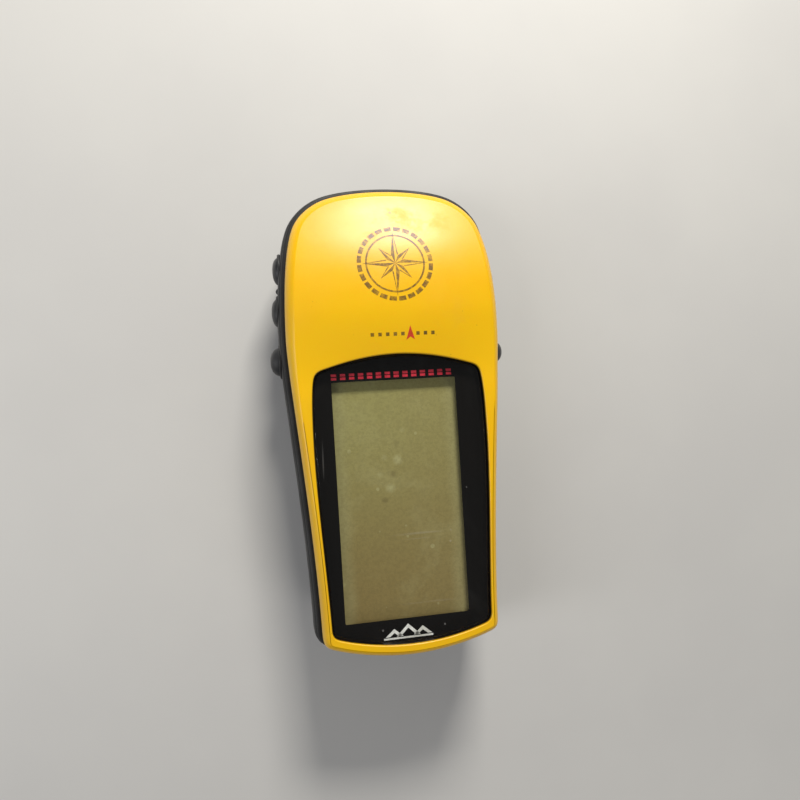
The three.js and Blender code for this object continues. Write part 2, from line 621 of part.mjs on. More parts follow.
// -- Cells and contacts
function cell(x, nubAtTop) {
  const { radius, length } = CELL;
  const profile = [
    [0, 0], [radius - 0.5, 0], [radius, 0.5], [radius, length - 1.6], [radius - 0.5, length - 1.1],
    [2.7, length - 1.1], [2.7, length], [0, length],
  ].map(([r, h]) => new THREE.Vector2(r, h));
  const g = new THREE.LatheGeometry(profile, 24);
  if (!nubAtTop) g.rotateZ(Math.PI).translate(0, length, 0);
  return g.translate(x, CELL.bottom, CELL.z);
}
add("battery_left", solid(cell(-CELL.x, true)), "cell");
add("battery_right", solid(cell(CELL.x, false)), "cell");
[["left", -CELL.x], ["right", CELL.x]].forEach(([name, x]) => {
  add(`contact_plate_${name}`, box([x - 4.5, 6.8, 6.6], [x + 4.5, 7.15, 14.6]), "steel");
  const turns = 3;
  const steps = 30;
  const points = [];
  for (let k = 0; k <= steps; k++) {
    const t = k / steps;
    const a = t * turns * 2 * Math.PI;
    const r = 3.6 - 1.2 * t;
    points.push(new THREE.Vector3(
      x + r * Math.cos(a), -47.35 + 2.9 * t, CELL.z + r * Math.sin(a)));
  }
  const section = new THREE.Shape();
  section.absarc(0, 0, 0.35, 0, 2 * Math.PI);
  add(`contact_spring_${name}`, solid(new THREE.ExtrudeGeometry(section, {
    steps: 36, extrudePath: new THREE.CatmullRomCurve3(points), curveSegments: 2,
  })), "steel");
});
add("contact_bridge", box([-12, -48.2, 6.6], [12, -47.9, 14.6]), "steel");

// -- Data connector in the well at the back
add("data_connector", join(
  rod(PORT.well + 0.9, PORT.bodyZ, 14.2, portAt, "z", 24),
  slab(5.2, PORT.y - 5.2, PORT.y + 5.2, 14.1, BOARD_Z - 0.1),
), "blackPlastic");
[[-1.5, -1.5], [1.5, -1.5], [-1.5, 1.5], [1.5, 1.5]].forEach(([dx, dy], i) => {
  add(`data_pin_${i + 1}`, rod(0.5, 10.3, PORT.bodyZ - 0.02, [dx, PORT.y + dy], "z", 10), "brass");
});

// -- Port cap: a rubber flap with a plug, and the anchor that its strap is moulded to
const capPlate = stack([
  atZ(capRim(0), (x, y) => backRise(y)),
  atZ(capRim(0), (x, y) => backRise(y) + CAP.thick),
]);
add("port_cap", join(
  solid(capPlate),
  rod(CAP.boss, 2.2, backRise(PORT.y) + CAP.thick + CAP.bossTall, portAt, "z", 20),
), "rubber");
add("port_cap_anchor", capAnchor(0), "rubber");

export default unit;
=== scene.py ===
"""Looks of a handheld navigator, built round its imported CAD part.

Lengths here are millimetres in the part's frame, unless a name says otherwise: X runs to the
right of the display, Y to the top end and Z out of the display, and the back lies on Z = 0.
"""

import json
import math

import bpy
import numpy as np
from mathutils import Matrix, Vector


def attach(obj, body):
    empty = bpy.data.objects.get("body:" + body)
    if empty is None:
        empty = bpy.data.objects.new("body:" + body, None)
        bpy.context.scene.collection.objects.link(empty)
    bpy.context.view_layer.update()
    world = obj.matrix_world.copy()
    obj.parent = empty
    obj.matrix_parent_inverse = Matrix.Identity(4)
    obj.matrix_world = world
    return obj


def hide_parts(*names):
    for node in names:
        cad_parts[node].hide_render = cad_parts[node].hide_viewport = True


MM = 0.001
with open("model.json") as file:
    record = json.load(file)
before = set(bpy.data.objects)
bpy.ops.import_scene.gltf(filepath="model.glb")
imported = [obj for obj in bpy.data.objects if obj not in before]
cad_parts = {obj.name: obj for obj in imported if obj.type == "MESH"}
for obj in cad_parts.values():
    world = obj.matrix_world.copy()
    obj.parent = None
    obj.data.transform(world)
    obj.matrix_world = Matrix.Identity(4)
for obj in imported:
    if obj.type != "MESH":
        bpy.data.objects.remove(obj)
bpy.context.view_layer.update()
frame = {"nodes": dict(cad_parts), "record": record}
scene = bpy.context.scene
NODES = frame["nodes"]

# ---- Camera ------------------------------------
CAMERA_PLACE = (-23.37, 3.22, 167.84)
CAMERA_AIM = (0.39, 4.49, 25.0)
CAMERA_ROLL_DEG = 3.50
CAMERA_LENS = 27.9  # on a 36 mm sensor


def set_camera():
    data = bpy.data.cameras.new("camera")
    data.lens = CAMERA_LENS
    data.clip_start = 0.005
    data.clip_end = 10
    camera = bpy.data.objects.new("camera", data)
    place, aim = Vector(CAMERA_PLACE), Vector(CAMERA_AIM)
    back = (place - aim).normalized()
    up = (Vector((0, 1, 0)) - back * back.y).normalized()
    right = up.cross(back)
    roll = math.radians(CAMERA_ROLL_DEG)
    tilted = up * math.cos(roll) + right * math.sin(roll)
    axes = Matrix((tilted.cross(back), tilted, back)).transposed()
    camera.matrix_world = Matrix.Translation(place * MM) @ axes.to_4x4()
    scene.collection.objects.link(camera)
    scene.camera = camera


set_camera()

# ---- Dimensions, as in the CAD part ------------
SHELL_TOP_Y = 54.4
SHELL_HALF_WIDTH = 25.0
BACK_EDGE_Z, BAND_BOTTOM_Z = 7.4, 8.5
PARTING_Z, SKIRT_Z, SEAM_Z = 17.0, 17.4, 21.2
LEDGE_BOTTOM_Z, LEDGE_Z, RIM_Z = 23.9, 25.1, 27.9
MASK_Z, LENS_Z, LENS_TOP_Z, LCD_TOP_Z = 25.15, 25.5, 27.0, 23.7
REBATE, SKIRT_INNER, HOUSING_INNER, BAND_INNER, BAND_BULGE = -1.3, -2.9, -3.1, -1.0, 1.9
RUN = 0.3  # play between parts
WINDOW = dict(x=-0.8, y=-18.4, width=29.2, height=55.4)
CELL = dict(x=7.9, z=10.75, radius=7.25, length=50.5, bottom=-43.9)
BAY = dict(x=15.4, bottom=-48.4, top=7.3, wall=1.1, mouth_bottom=-46.0, ceiling=18.3, roof=19.3)
DOOR = dict(x=17.2, bottom=-48.0, top=10.8, corner=5.0)
DOOR_EDGE_Z, DOOR_PLUG_Z, DOOR_LEDGE_Z, LEDGE_TOP_Z = 2.2, 3.15, 2.8, 4.2
LATCH = dict(y=-34.0, dish=9.4, dish_z=2.35, pivot_z=1.25, shaft=1.3, head=3.0)
PORT = dict(y=30.0, well=4.9, wall=1.2, well_top=12.3)
CAP = dict(x=8.4, bottom=20.6, top=41.0, corner=4.0)
CAP_THICK, CAP_BOSS, CAP_BOSS_TALL = 1.8, 3.9, 2.2
DOOR_TABS = ((-12.5, -7.5), (7.5, 12.5))
KEYS = dict(
    up=(-1, 37.5, 1.5), down=(-1, 27.4, 1.4), enter=(-1, 15.5, 2.3),
    page=(1, 34.0, 1.5), power=(1, 15.5, 2.3),
)
KEY_Z, KEY_Y, KEY_HALF_Z, KEY_GAP, KEY_INNER, KEY_POCKET = 14.5, 2.9, 3.5, 0.4, -1.0, -2.2
KEY_STEM = 1.3

# ---- Outlines ----------------------------------
STEPS = (14, 12, 18, 12, 16, 14)


def bezier(ends, n):
    p = [np.array(q, float) for q in ends]
    t = (np.arange(n) / n)[:, None]
    s = 1 - t
    points = s**3 * p[0] + 3 * s * s * t * p[1] + 3 * s * t * t * p[2] + t**3 * p[3]
    slope = s * s * (p[1] - p[0]) + 2 * s * t * (p[2] - p[1]) + t * t * (p[3] - p[2])
    normals = np.c_[slope[:, 1], -slope[:, 0]]
    return points, normals / np.linalg.norm(normals, axis=1)[:, None]


def outline(start, stretches):
    """The closed symmetric outline and its outward normals, anticlockwise from the bottom."""
    points, normals = [], []
    for (a, b, c, d, e, f), n in zip(stretches, STEPS):
        p, q = bezier([start, (a, b), (c, d), (e, f)], n)
        points.append(p)
        normals.append(q)
        start = (e, f)
    points = np.vstack([*points, [start]])
    normals = np.vstack([*normals, [(0.0, 1.0)]])
    flip = np.array([-1, 1])
    return np.vstack([points, points[1:-1][::-1] * flip]), np.vstack(
        [normals, normals[1:-1][::-1] * flip])


W, T = SHELL_HALF_WIDTH, SHELL_TOP_Y
BODY = outline((0, -T), [
    (6.5, -T, 13.4, -53.1, 18.2, -51.4),
    (20.6, -50.6, 20.7, -49.8, 20.7, -46.8),
    (21.3, -20.4, W, 10.7, W, 18.9),
    (W, 26.6, 24.5, 39.6, 22.2, 45.6),
    (20.95, 48.8, 17.9, 51.5, 14.3, 52.7),
    (10.5, 53.9, 5, T, 0, T),
])
WINDOW_EDGE = outline((0, -51.3), [
    (6.0, -51.3, 11.9, -50.3, 16.7, -48.7),
    (18.3, -48.2, 18.6, -47.4, 18.6, -45.6),
    (19.0, -32, 20.2, -18, 20.2, -4.9),
    (20.2, 1.1, 20.0, 7.0, 19.6, 9.2),
    (19.3, 11.5, 18.4, 11.9, 16.6, 12.4),
    (11.7, 13.9, 6, 15.1, 0, 15.1),
])
BACK = outline((0, -50.0), [
    (4.5, -50.0, 8.0, -49.8, 11.0, -49.3),
    (15.6, -48.4, 18.0, -45.5, 18.1, -40.5),
    (18.2, -20, 19.4, 6, 19.4, 14),
    (19.4, 24, 18.8, 31, 17.2, 37.5),
    (15.8, 43.0, 12.6, 46.2, 8.5, 47.2),
    (6, 47.8, 3, 48.0, 0, 48.0),
])


def offset(shape, d):
    d = np.asarray(d, float)
    return shape[0] + shape[1] * (d[:, None] if d.ndim else d)


def smooth(t):
    c = np.clip(t, 0, 1)
    return c * c * (3 - 2 * c)


def front_z(x, y):
    swell = 1.9 * smooth((y - 8) / 18)
    fall = 5.6 * smooth((y - 24) / 34) ** 1.5
    crown = 1.5 * smooth((y - 4) / 20) * (x / W) ** 2
    return RIM_Z + swell - fall - crown


def under_front(drop):
    return lambda x, y: front_z(x, y) - drop


def back_rise(y):
    return 5.0 * (np.maximum(y - 12, 0) / 40) ** 2


def half_width(y):
    right = BODY[0][BODY[0][:, 0] > 0]
    side = right[(right[:, 1] > -46) & (right[:, 1] < 46)]
    order = np.argsort(side[:, 1])
    return float(np.interp(y, side[order, 1], side[order, 0]))


def at_z(points, z):
    level = z(points[:, 0], points[:, 1]) if callable(z) else np.full(len(points), float(z))
    return np.c_[points, level]


# ---- Meshes ------------------------------------
def mesh_object(name, vertices, faces):
    mesh = bpy.data.meshes.new(name)
    mesh.from_pydata(np.asarray(vertices, float).tolist(), [], faces)
    mesh.update()
    made = bpy.data.objects.new(name, mesh)
    scene.collection.objects.link(made)
    return made


def band_faces(count, n, wrap):
    faces = []
    for r in range(count if wrap else count - 1):
        a, b = r * n, ((r + 1) % count) * n
        faces += [(a + i, a + (i + 1) % n, b + (i + 1) % n, b + i) for i in range(n)]
    return faces


def stack(name, rings):
    n = len(rings[0])
    faces = band_faces(len(rings), n, False)
    ends = [np.mean(rings[0], axis=0), np.mean(rings[-1], axis=0)]
    low, high, last = n * len(rings), n * len(rings) + 1, n * (len(rings) - 1)
    for i in range(n):
        j = (i + 1) % n
        faces.append((j, i, low))
        faces.append((last + i, last + j, high))
    return mesh_object(name, np.vstack([*rings, ends]), faces)


def hoop(name, rings):
    return mesh_object(name, np.vstack(rings), band_faces(len(rings), len(rings[0]), True))


def box(name, low, high):
    (x0, y0, z0), (x1, y1, z1) = low, high
    square = np.array([(x0, y0), (x1, y0), (x1, y1), (x0, y1)], float)
    return stack(name, [at_z(square, z0), at_z(square, z1)])


def slab(name, x, y0, y1, z0, z1):
    return box(name, (-x, y0, z0), (x, y1, z1))


def turned(name, profile, centre=(0, 0, 0), axis="z", squash=(1, 1), sides=64):
    """A solid of revolution: profile is (radius, height) pairs, and the axis ends are closed."""
    a = np.arange(sides) * 2 * math.pi / sides
    rings = []
    for radius, height in profile:
        radius = max(radius, 1e-3)
        u, v = radius * squash[0] * np.cos(a), radius * squash[1] * np.sin(a)
        h = np.full(sides, float(height))
        way = {"x": (h, u, v), "y": (v, h, u), "z": (u, v, h), "-x": (-h, v, u)}[axis]
        rings.append(np.c_[way] + np.array(centre, float))
    return stack(name, rings)


def rod(name, radius, z0, z1, x=0.0, y=0.0, sides=64):
    return turned(name, [(radius, z0), (radius, z1)], (x, y, 0), sides=sides)


def rounded(plan, by=0.0, steps=10):
    """A rectangle with round corners as a ring of points, grown by a margin."""
    x, bottom, top = plan["x"] + by, plan["bottom"] - by, plan["top"] + by
    r = max(plan["corner"] + by, 0.05)
    points = []
    for sx, edge, start in ((1, bottom, -90), (1, top, 0), (-1, top, 90), (-1, bottom, 180)):
        cy = top - r if edge == top else bottom + r
        for k in range(steps + 1):
            a = math.radians(start + 90 * k / steps)
            points.append((sx * (x - r) + r * math.cos(a), cy + r * math.sin(a)))
    return np.array(points)


def plate(name, plan, z0, z1, by=0.0):
    return stack(name, [at_z(rounded(plan, by), z0), at_z(rounded(plan, by), z1)])


def combine(base, how, tools):
    """Joins, cuts or intersects base with each tool in turn, and removes the tools."""
    for tool in tools:
        cutter = base.modifiers.new("combine", "BOOLEAN")
        cutter.operation, cutter.solver, cutter.object = how, "MANIFOLD", tool
    bpy.context.view_layer.update()
    result = bpy.data.meshes.new_from_object(
        base.evaluated_get(bpy.context.evaluated_depsgraph_get()))
    base.modifiers.clear()
    base.data = result
    for tool in tools:
        bpy.data.objects.remove(tool)
    return base


def cut(base, *tools):
    return combine(base, "DIFFERENCE", tools)


def join(base, *tools):
    return combine(base, "UNION", tools)


def gather(base, *others):
    """Adds the others' closed surfaces to base's mesh, and removes the others."""
    vertices, faces = [], []
    for piece in (base, *others):
        start = len(vertices)
        vertices += [v.co[:] for v in piece.data.vertices]
        faces += [[start + i for i in face.vertices] for face in piece.data.polygons]
    for piece in others:
        bpy.data.objects.remove(piece)
    mesh = bpy.data.meshes.new(base.name)
    mesh.from_pydata(vertices, [], faces)
    base.data = mesh
    return base


def key_prism(name, key, inner, outer):
    """An oval bar through a key's place, from inner to outer past the case's side."""
    side, y, _ = KEYS[key]
    x = half_width(y)
    squash = (1, (KEY_HALF_Z + KEY_GAP) / (KEY_Y + KEY_GAP))
    return turned(name, [(KEY_Y + KEY_GAP, x + inner), (KEY_Y + KEY_GAP, x + outer)],
                  (0, y, KEY_Z), "x" if side > 0 else "-x", squash)


# ---- Materials ---------------------------------
class Look:
    """A material being put together from nodes, ending in one Principled shader."""

    def __init__(self, name):
        self.material = bpy.data.materials.new(name)
        self.material.use_nodes = True
        self.tree = self.material.node_tree
        self.tree.nodes.clear()
        self.output = self.add("OutputMaterial")
        self.shader = self.add("BsdfPrincipled")
        self.link(self.shader.outputs[0], self.output.inputs[0])
        self.place = self.add("TexCoord").outputs["Object"]

    def add(self, kind, **values):
        node = self.tree.nodes.new("ShaderNode" + kind)
        for key, value in values.items():
            if hasattr(node, key):
                setattr(node, key, value)
            else:
                node.inputs[key.replace("_", " ")].default_value = value
        return node

    def link(self, a, b):
        self.tree.links.new(a, b)

    def put(self, value, socket):
        if isinstance(value, (int, float)):
            socket.default_value = value
        elif isinstance(value, tuple):
            socket.default_value = (*value, 1.0) if len(value) == 3 else value
        else:
            self.link(value, socket)

    def noise(self, scale, detail=3.0, roughness=0.55, stretch=None, distortion=0.0):
        node = self.add("TexNoise", Scale=scale, Detail=detail, Roughness=roughness,
                        Distortion=distortion)
        place = self.place
        if stretch:
            mapping = self.add("Mapping", Scale=stretch[:3])
            if len(stretch) > 3:
                mapping.inputs["Rotation"].default_value = (0, 0, math.radians(stretch[3]))
            self.link(self.place, mapping.inputs["Vector"])
            place = mapping.outputs[0]
        self.link(place, node.inputs["Vector"])
        return node.outputs[0]

    def spots(self, scale, radius, share):
        """Small round spots, in about that share of the cells of a grid with random cells."""
        node = self.add("TexVoronoi", Scale=scale)
        self.link(self.place, node.inputs["Vector"])
        split = self.add("SeparateColor")
        self.link(node.outputs["Color"], split.inputs[0])
        chosen = self.math("LESS_THAN", split.outputs[0], share)
        sized = self.math("MULTIPLY", split.outputs[1], radius)
        near = self.math("LESS_THAN", node.outputs["Distance"], sized)
        return self.math("MULTIPLY", chosen, near)

    def math(self, operation, a, b=0.5):
        node = self.add("Math", operation=operation)
        self.put(a, node.inputs[0])
        self.put(b, node.inputs[1])
        return node.outputs[0]

    def times(self, a, b):
        return self.math("MULTIPLY", a, b)

    def plus(self, a, b):
        return self.math("ADD", a, b)

    def span(self, value, low, high, to_low=0.0, to_high=1.0):
        node = self.add("MapRange", interpolation_type="SMOOTHSTEP")
        for socket, number in zip(list(node.inputs)[1:5], (low, high, to_low, to_high)):
            socket.default_value = number
        self.put(value, node.inputs[0])
        return node.outputs[0]

    def mix(self, share, a, b):
        node = self.add("Mix", data_type="RGBA")
        self.put(share, node.inputs[0])
        self.put(a, node.inputs[6])
        self.put(b, node.inputs[7])
        return node.outputs[2]

    def blend(self, share, a, b):
        node = self.add("MixShader")
        for value, socket in zip((share, a, b), node.inputs):
            self.link(value, socket)
        return node.outputs[0]

    def over(self, base, colour, where, share):
        """The base colour with another laid over it by share of where."""
        return self.mix(self.times(where, share), base, colour)

    def attribute(self, name):
        return self.add("Attribute", attribute_name=name).outputs["Fac"]

    def bump(self, height, strength, distance_mm, normal=None):
        node = self.add("Bump", Strength=strength, Distance=distance_mm * MM)
        self.link(height, node.inputs["Height"])
        if normal is not None:
            self.link(normal, node.inputs["Normal"])
        return node.outputs[0]

    def soft_edges(self, radius_mm):
        return self.add("Bevel", samples=4, Radius=radius_mm * MM).outputs[0]

    def set(self, **values):
        names = dict(colour="Base Color", roughness="Roughness", metal="Metallic",
                     normal="Normal", specular="Specular IOR Level", sheen="Sheen Weight",
                     coat="Coat Weight", alpha="Alpha", subsurface="Subsurface Weight",
                     subsurface_scale="Subsurface Scale", sheen_roughness="Sheen Roughness")
        for key, value in values.items():
            self.put(value, self.shader.inputs[names[key]])
        return self.material


def moulded(name, colour, roughness, *, shade=0.7, grain=2600.0, grain_depth=0.03, blotch=90.0,
            dust=0.05, edges=0.15, scuffs=0.12, sheen=0.0, metal=0.0, specular=0.5):
    """Moulded plastic or rubber: fine spark grain, uneven gloss, light scuffs and dust."""
    look = Look(name)
    cloudy = look.noise(blotch, 4)
    dark = tuple(c * shade for c in colour)
    base = look.mix(look.span(cloudy, 0.35, 0.7), colour, dark)
    fine = look.noise(grain, 2, 0.6)
    lines = look.noise(520, 2, 0.5, (1, 0.06, 1, 31))
    lines_2 = look.noise(430, 2, 0.5, (0.05, 1, 1, -24))
    scuff = look.math("MAXIMUM", look.span(lines, 0.66, 0.72), look.span(lines_2, 0.68, 0.74))
    scuff = look.times(scuff, look.span(look.noise(140, 2), 0.45, 0.65))
    pale = tuple(min(1.0, c * 1.6 + 0.05) for c in colour)
    base = look.over(base, pale, scuff, scuffs)
    specks = look.spots(1500, 0.13, 0.16)
    specks = look.times(specks, look.span(look.noise(120, 2), 0.45, 0.6))
    base = look.over(base, (0.22, 0.21, 0.19), specks, dust)
    rough = look.plus(look.span(cloudy, 0.3, 0.7, roughness - 0.07, roughness + 0.07),
                      look.times(scuff, -0.08))
    start = look.soft_edges(edges) if edges else None
    normal = look.bump(fine, 0.5, grain_depth, start)
    look.set(colour=base, roughness=rough, normal=normal, metal=metal, specular=specular)
    if sheen:
        look.set(sheen=sheen, sheen_roughness=0.5)
    return look.material


def shell_yellow():
    """Warm yellow plastic: spark grain, handling dirt, small dark specks, and grime at its edges
    mixed with painted shade.
    """
    look = Look("shell_yellow")
    wide = look.noise(38, 3)
    base = look.mix(look.span(wide, 0.35, 0.7), (0.93, 0.535, 0.002), (0.90, 0.49, 0.002))
    dirty = look.times(look.span(look.noise(95, 5, 0.7), 0.52, 0.72),
                       look.span(look.noise(30, 2), 0.42, 0.62))
    base = look.over(base, (0.42, 0.24, 0.02), dirty, 0.07)
    specks = look.spots(900, 0.13, 0.2)
    specks = look.times(specks, look.span(look.noise(60, 2), 0.45, 0.6))
    base = look.over(base, (0.16, 0.09, 0.02), specks, 0.5)
    marks = look.spots(160, 0.10, 0.16)
    base = look.over(base, (0.2, 0.12, 0.03), marks, 0.5)
    # Painted shade mixed with grime: dark brown on the window's lip, stronger deeper down, and
    # along the seam.
    grime_and_shade_share = look.times(look.attribute("grime_and_shade"),
                        look.span(look.noise(170, 4), 0.3, 0.6, 0.3, 0.8))
    base = look.mix(grime_and_shade_share, base, (0.17, 0.075, 0.012))
    base = look.mix(look.attribute("glue"), base, (0.006, 0.005, 0.005))
    rough = look.span(look.noise(70, 4), 0.3, 0.7, 0.30, 0.38)
    rough = look.plus(rough, look.times(dirty, 0.12))
    normal = look.bump(look.noise(2300, 2, 0.6), 0.35, 0.02)
    normal = look.bump(look.noise(60, 2), 0.12, 0.15, normal)
    return look.set(colour=base, roughness=rough, normal=normal, subsurface=0.06,
                    subsurface_scale=0.0012, specular=0.5)


DISPLAY_TOP, DISPLAY_LOW = (0.36, 0.33, 0.125), (0.275, 0.205, 0.075)
DISPLAY_RIGHT = (0.31, 0.25, 0.1)
DISPLAY_PALE, DISPLAY_DARK = (0.50, 0.47, 0.24), (0.13, 0.10, 0.04)
# Bruises in the display: x, y, radius, strength, and whether it is paler.
BRUISES = (
    (-0.8, -9.4, 1.5, 0.6, True), (-3.0, -16.0, 1.5, 0.6, True), (-3.9, -8.8, 1.1, 0.35, True),
    (-2.1, -12.8, 1.3, 0.45, False), (-4.3, -18.8, 1.0, 0.45, False),
    (-0.9, -5.6, 1.0, 0.25, False), (-5.2, -12.6, 1.0, 0.3, True), (0.6, -2.6, 0.9, 0.3, True),
)


def window_clear():
    """Clear polished window: reflections by angle over a view straight through, with faint
    smears, hair scratches and dust."""
    look = Look("window_clear")
    smear = look.span(look.noise(45, 5, 0.7, (1, 0.45, 1, 35), 0.8), 0.5, 0.75)
    hair = look.span(look.noise(600, 2, 0.5, (1, 0.03, 1, 52)), 0.69, 0.73)
    hair_2 = look.span(look.noise(500, 2, 0.5, (0.03, 1, 1, 18)), 0.70, 0.74)
    hair = look.times(look.math("MAXIMUM", hair, hair_2),
                      look.span(look.noise(50, 2), 0.5, 0.62))
    dust = look.spots(420, 0.12, 0.28)
    outer = look.math("SUBTRACT", 1.0, look.add("NewGeometry").outputs["Backfacing"])
    film = look.plus(look.times(smear, 0.02), look.times(hair, 0.09))
    film = look.plus(film, look.times(dust, 0.16))
    film = look.times(look.plus(film, 0.002), outer)
    clear = look.add("BsdfTransparent")
    clear.inputs[0].default_value = (0.97, 0.975, 0.965, 1)
    gloss = look.add("BsdfGlossy")
    look.put(look.plus(look.times(smear, 0.12), 0.07), gloss.inputs["Roughness"])
    haze = look.add("BsdfDiffuse")
    haze.inputs[0].default_value = (0.62, 0.61, 0.58, 1)
    fresnel = look.add("Fresnel")
    fresnel.inputs["IOR"].default_value = 1.45
    mirror = look.times(fresnel.outputs[0], outer)
    hazy = look.blend(film, clear.outputs[0], haze.outputs[0])
    look.link(look.blend(mirror, hazy, gloss.outputs[0]), look.output.inputs[0])
    look.tree.nodes.remove(look.shader)
    return look.material


def display_olive():
    """Reflective display: olive grey, greener at the top left and browner lower down, paler
    near its frame, with bruises, stains, specks and a very fine mottle."""
    look = Look("display_olive")
    split = look.add("SeparateXYZ")
    look.link(look.place, split.inputs[0])
    x, y = split.outputs[0], split.outputs[1]
    half_wide, half_tall = WINDOW["width"] / 2 * MM, WINDOW["height"] / 2 * MM
    lower = look.span(y, WINDOW["y"] * MM - half_tall, WINDOW["y"] * MM + half_tall, 1, 0)
    base = look.mix(lower, DISPLAY_TOP, DISPLAY_LOW)
    rightward = look.span(x, -0.012, 0.012)
    base = look.over(base, DISPLAY_RIGHT, rightward, 0.3)
    across = look.math("ABSOLUTE", look.math("SUBTRACT", x, WINDOW["x"] * MM))
    wavy = look.times(look.noise(70, 2), 0.004)
    rim = look.span(look.plus(across, wavy), half_wide * 0.86, half_wide * 1.08)
    base = look.over(base, DISPLAY_PALE, rim, 0.32)
    stain = look.span(look.noise(85, 5, 0.65, None, 0.6), 0.45, 0.75)
    base = look.over(base, DISPLAY_PALE, stain, 0.22)
    for bx, by, size, strength, pale in BRUISES:
        near = look.add("VectorMath")
        near.operation = "DISTANCE"
        look.link(look.place, near.inputs[0])
        near.inputs[1].default_value = (bx * MM, by * MM, LCD_TOP_Z * MM)
        gap = look.plus(near.outputs["Value"],
                        look.times(look.noise(420, 3), size * 0.9 * MM))
        blob = look.span(gap, size * 0.55 * MM, size * 1.5 * MM, strength, 0.0)
        base = look.mix(blob, base, DISPLAY_PALE if pale else DISPLAY_DARK)
    speck = look.spots(330, 0.2, 0.3)
    base = look.over(base, DISPLAY_PALE, speck, 0.4)
    dark = look.spots(240, 0.1, 0.2)
    base = look.over(base, DISPLAY_DARK, dark, 0.3)
    mottled = look.noise(1500, 2, 0.7)
    base = look.mix(look.span(mottled, 0.35, 0.7, 0.0, 0.22), base, DISPLAY_DARK)
    normal = look.bump(mottled, 0.3, 0.02)
    return look.set(colour=base, roughness=0.5, normal=normal, specular=0.2)


def printed(name, colour, strength=1.0, worn=0.5, roughness=0.45, upper=None):
    """Screen-printed ink, worn through in small spots, and, if given, another tone higher up that
    paints in the highlight on the mark's upper part.
    """
    look = Look(name)
    base = look.mix(look.span(look.noise(300, 3), 0.35, 0.65), colour,
                    tuple(min(1, c * 1.35 + 0.01) for c in colour))
    # Painted highlight: the upper tone stands in for the light falling on the top of the mark.
    if upper:
        split = look.add("SeparateXYZ")
        look.link(look.place, split.inputs[0])
        base = look.mix(look.span(split.outputs[1], 0.036, 0.042), base, upper)
    wear = look.span(look.noise(850, 4, 0.7), 0.40, 0.62, 1.0, 1.0 - worn)
    return look.set(colour=base, roughness=roughness, alpha=look.times(wear, strength))


def brushed(name, colour, roughness, tarnish=(0.2, 0.17, 0.13)):
    look = Look(name)
    streak = look.noise(900, 3, 0.6, (1, 0.08, 1, 12))
    patch = look.span(look.noise(260, 4, 0.7), 0.5, 0.75)
    base = look.mix(look.span(streak, 0.3, 0.7), colour, tuple(c * 0.8 for c in colour))
    base = look.over(base, tarnish, patch, 0.35)
    rough = look.plus(look.span(streak, 0.3, 0.7, roughness - 0.06, roughness + 0.08),
                      look.times(patch, 0.15))
    normal = look.bump(streak, 0.25, 0.02, look.soft_edges(0.12))
    return look.set(colour=base, roughness=rough, metal=1.0, normal=normal)


def circuit_green():
    """Solder mask over copper tracks: a lighter net of lines on dark green."""
    look = Look("circuit_green")
    cells = look.add("TexBrick")
    cells.inputs["Scale"].default_value = 420
    cells.inputs["Mortar Size"].default_value = 0.03
    look.link(look.place, cells.inputs["Vector"])
    tracks = look.times(cells.outputs["Fac"], look.span(look.noise(220, 2), 0.4, 0.6))
    base = look.mix(tracks, (0.012, 0.085, 0.03), (0.05, 0.2, 0.07))
    pads = look.spots(380, 0.3, 0.35)
    base = look.mix(pads, base, (0.62, 0.56, 0.4))
    return look.set(colour=base, roughness=look.span(pads, 0, 1, 0.32, 0.25),
                    normal=look.bump(tracks, 0.5, 0.03), coat=0.3)


BLACK = (0.0105, 0.0105, 0.0115)
LOOKS = dict(
    yellow_shell=shell_yellow(),
    clear_lens=window_clear(),
    mask_print=moulded("mask_print", (0.0045, 0.0035, 0.003), 0.5, grain_depth=0.004, edges=0,
                       dust=0.05, scuffs=0.02, specular=0.1),
    lcd_glass=display_olive(),
    white_plastic=moulded("white_plastic", (0.72, 0.71, 0.66), 0.5, shade=0.85),
    elastomer=moulded("elastomer", (0.06, 0.055, 0.06), 0.7, blotch=500),
    circuit_board=circuit_green(),
    seal_foam=moulded("seal_foam", (0.035, 0.035, 0.037), 0.85, grain=900, grain_depth=0.08),
    ceramic=moulded("ceramic", (0.5, 0.4, 0.29), 0.6, grain=1500, grain_depth=0.03),
    can_steel=brushed("can_steel", (0.62, 0.62, 0.6), 0.32),
    chip_black=moulded("chip_black", (0.02, 0.02, 0.021), 0.5, grain=3200, edges=0.08),
    black_plastic=moulded("black_plastic", (0.017, 0.017, 0.019), 0.47, grain=1500,
                          grain_depth=0.06, edges=0.25, scuffs=0.16, dust=0.2),
    door_plastic=moulded("door_plastic", (0.018, 0.018, 0.02), 0.5, grain=1300,
                         grain_depth=0.08, edges=0.25, scuffs=0.2, dust=0.2),
    rubber_band=moulded("rubber_band", BLACK, 0.58, grain=1700, grain_depth=0.05, edges=0.2,
                        sheen=0.08, dust=0.35, scuffs=0.1),
    key_rubber=moulded("key_rubber", (0.03, 0.03, 0.032), 0.5, grain=1900, grain_depth=0.03,
                       edges=0.15, sheen=0.12, dust=0.3, scuffs=0.2),
    cap_rubber=moulded("cap_rubber", (0.016, 0.016, 0.017), 0.68, grain=1700, grain_depth=0.05,
                       edges=0.25, sheen=0.1, dust=0.3),
    latch_steel=brushed("latch_steel", (0.6, 0.59, 0.57), 0.28),
    screw_steel=brushed("screw_steel", (0.5, 0.5, 0.5), 0.35),
    contact_nickel=brushed("contact_nickel", (0.68, 0.65, 0.6), 0.25),
    pin_brass=brushed("pin_brass", (0.83, 0.6, 0.24), 0.22, (0.4, 0.25, 0.1)),
    cell_wrap=moulded("cell_wrap", (0.03, 0.032, 0.04), 0.25, grain=600, grain_depth=0.01,
                      edges=0.1, scuffs=0.1),
)
for part in frame["record"]["subparts"]:
    NODES[part["node"]].material_slots[0].material = LOOKS[part["material_slot"]]


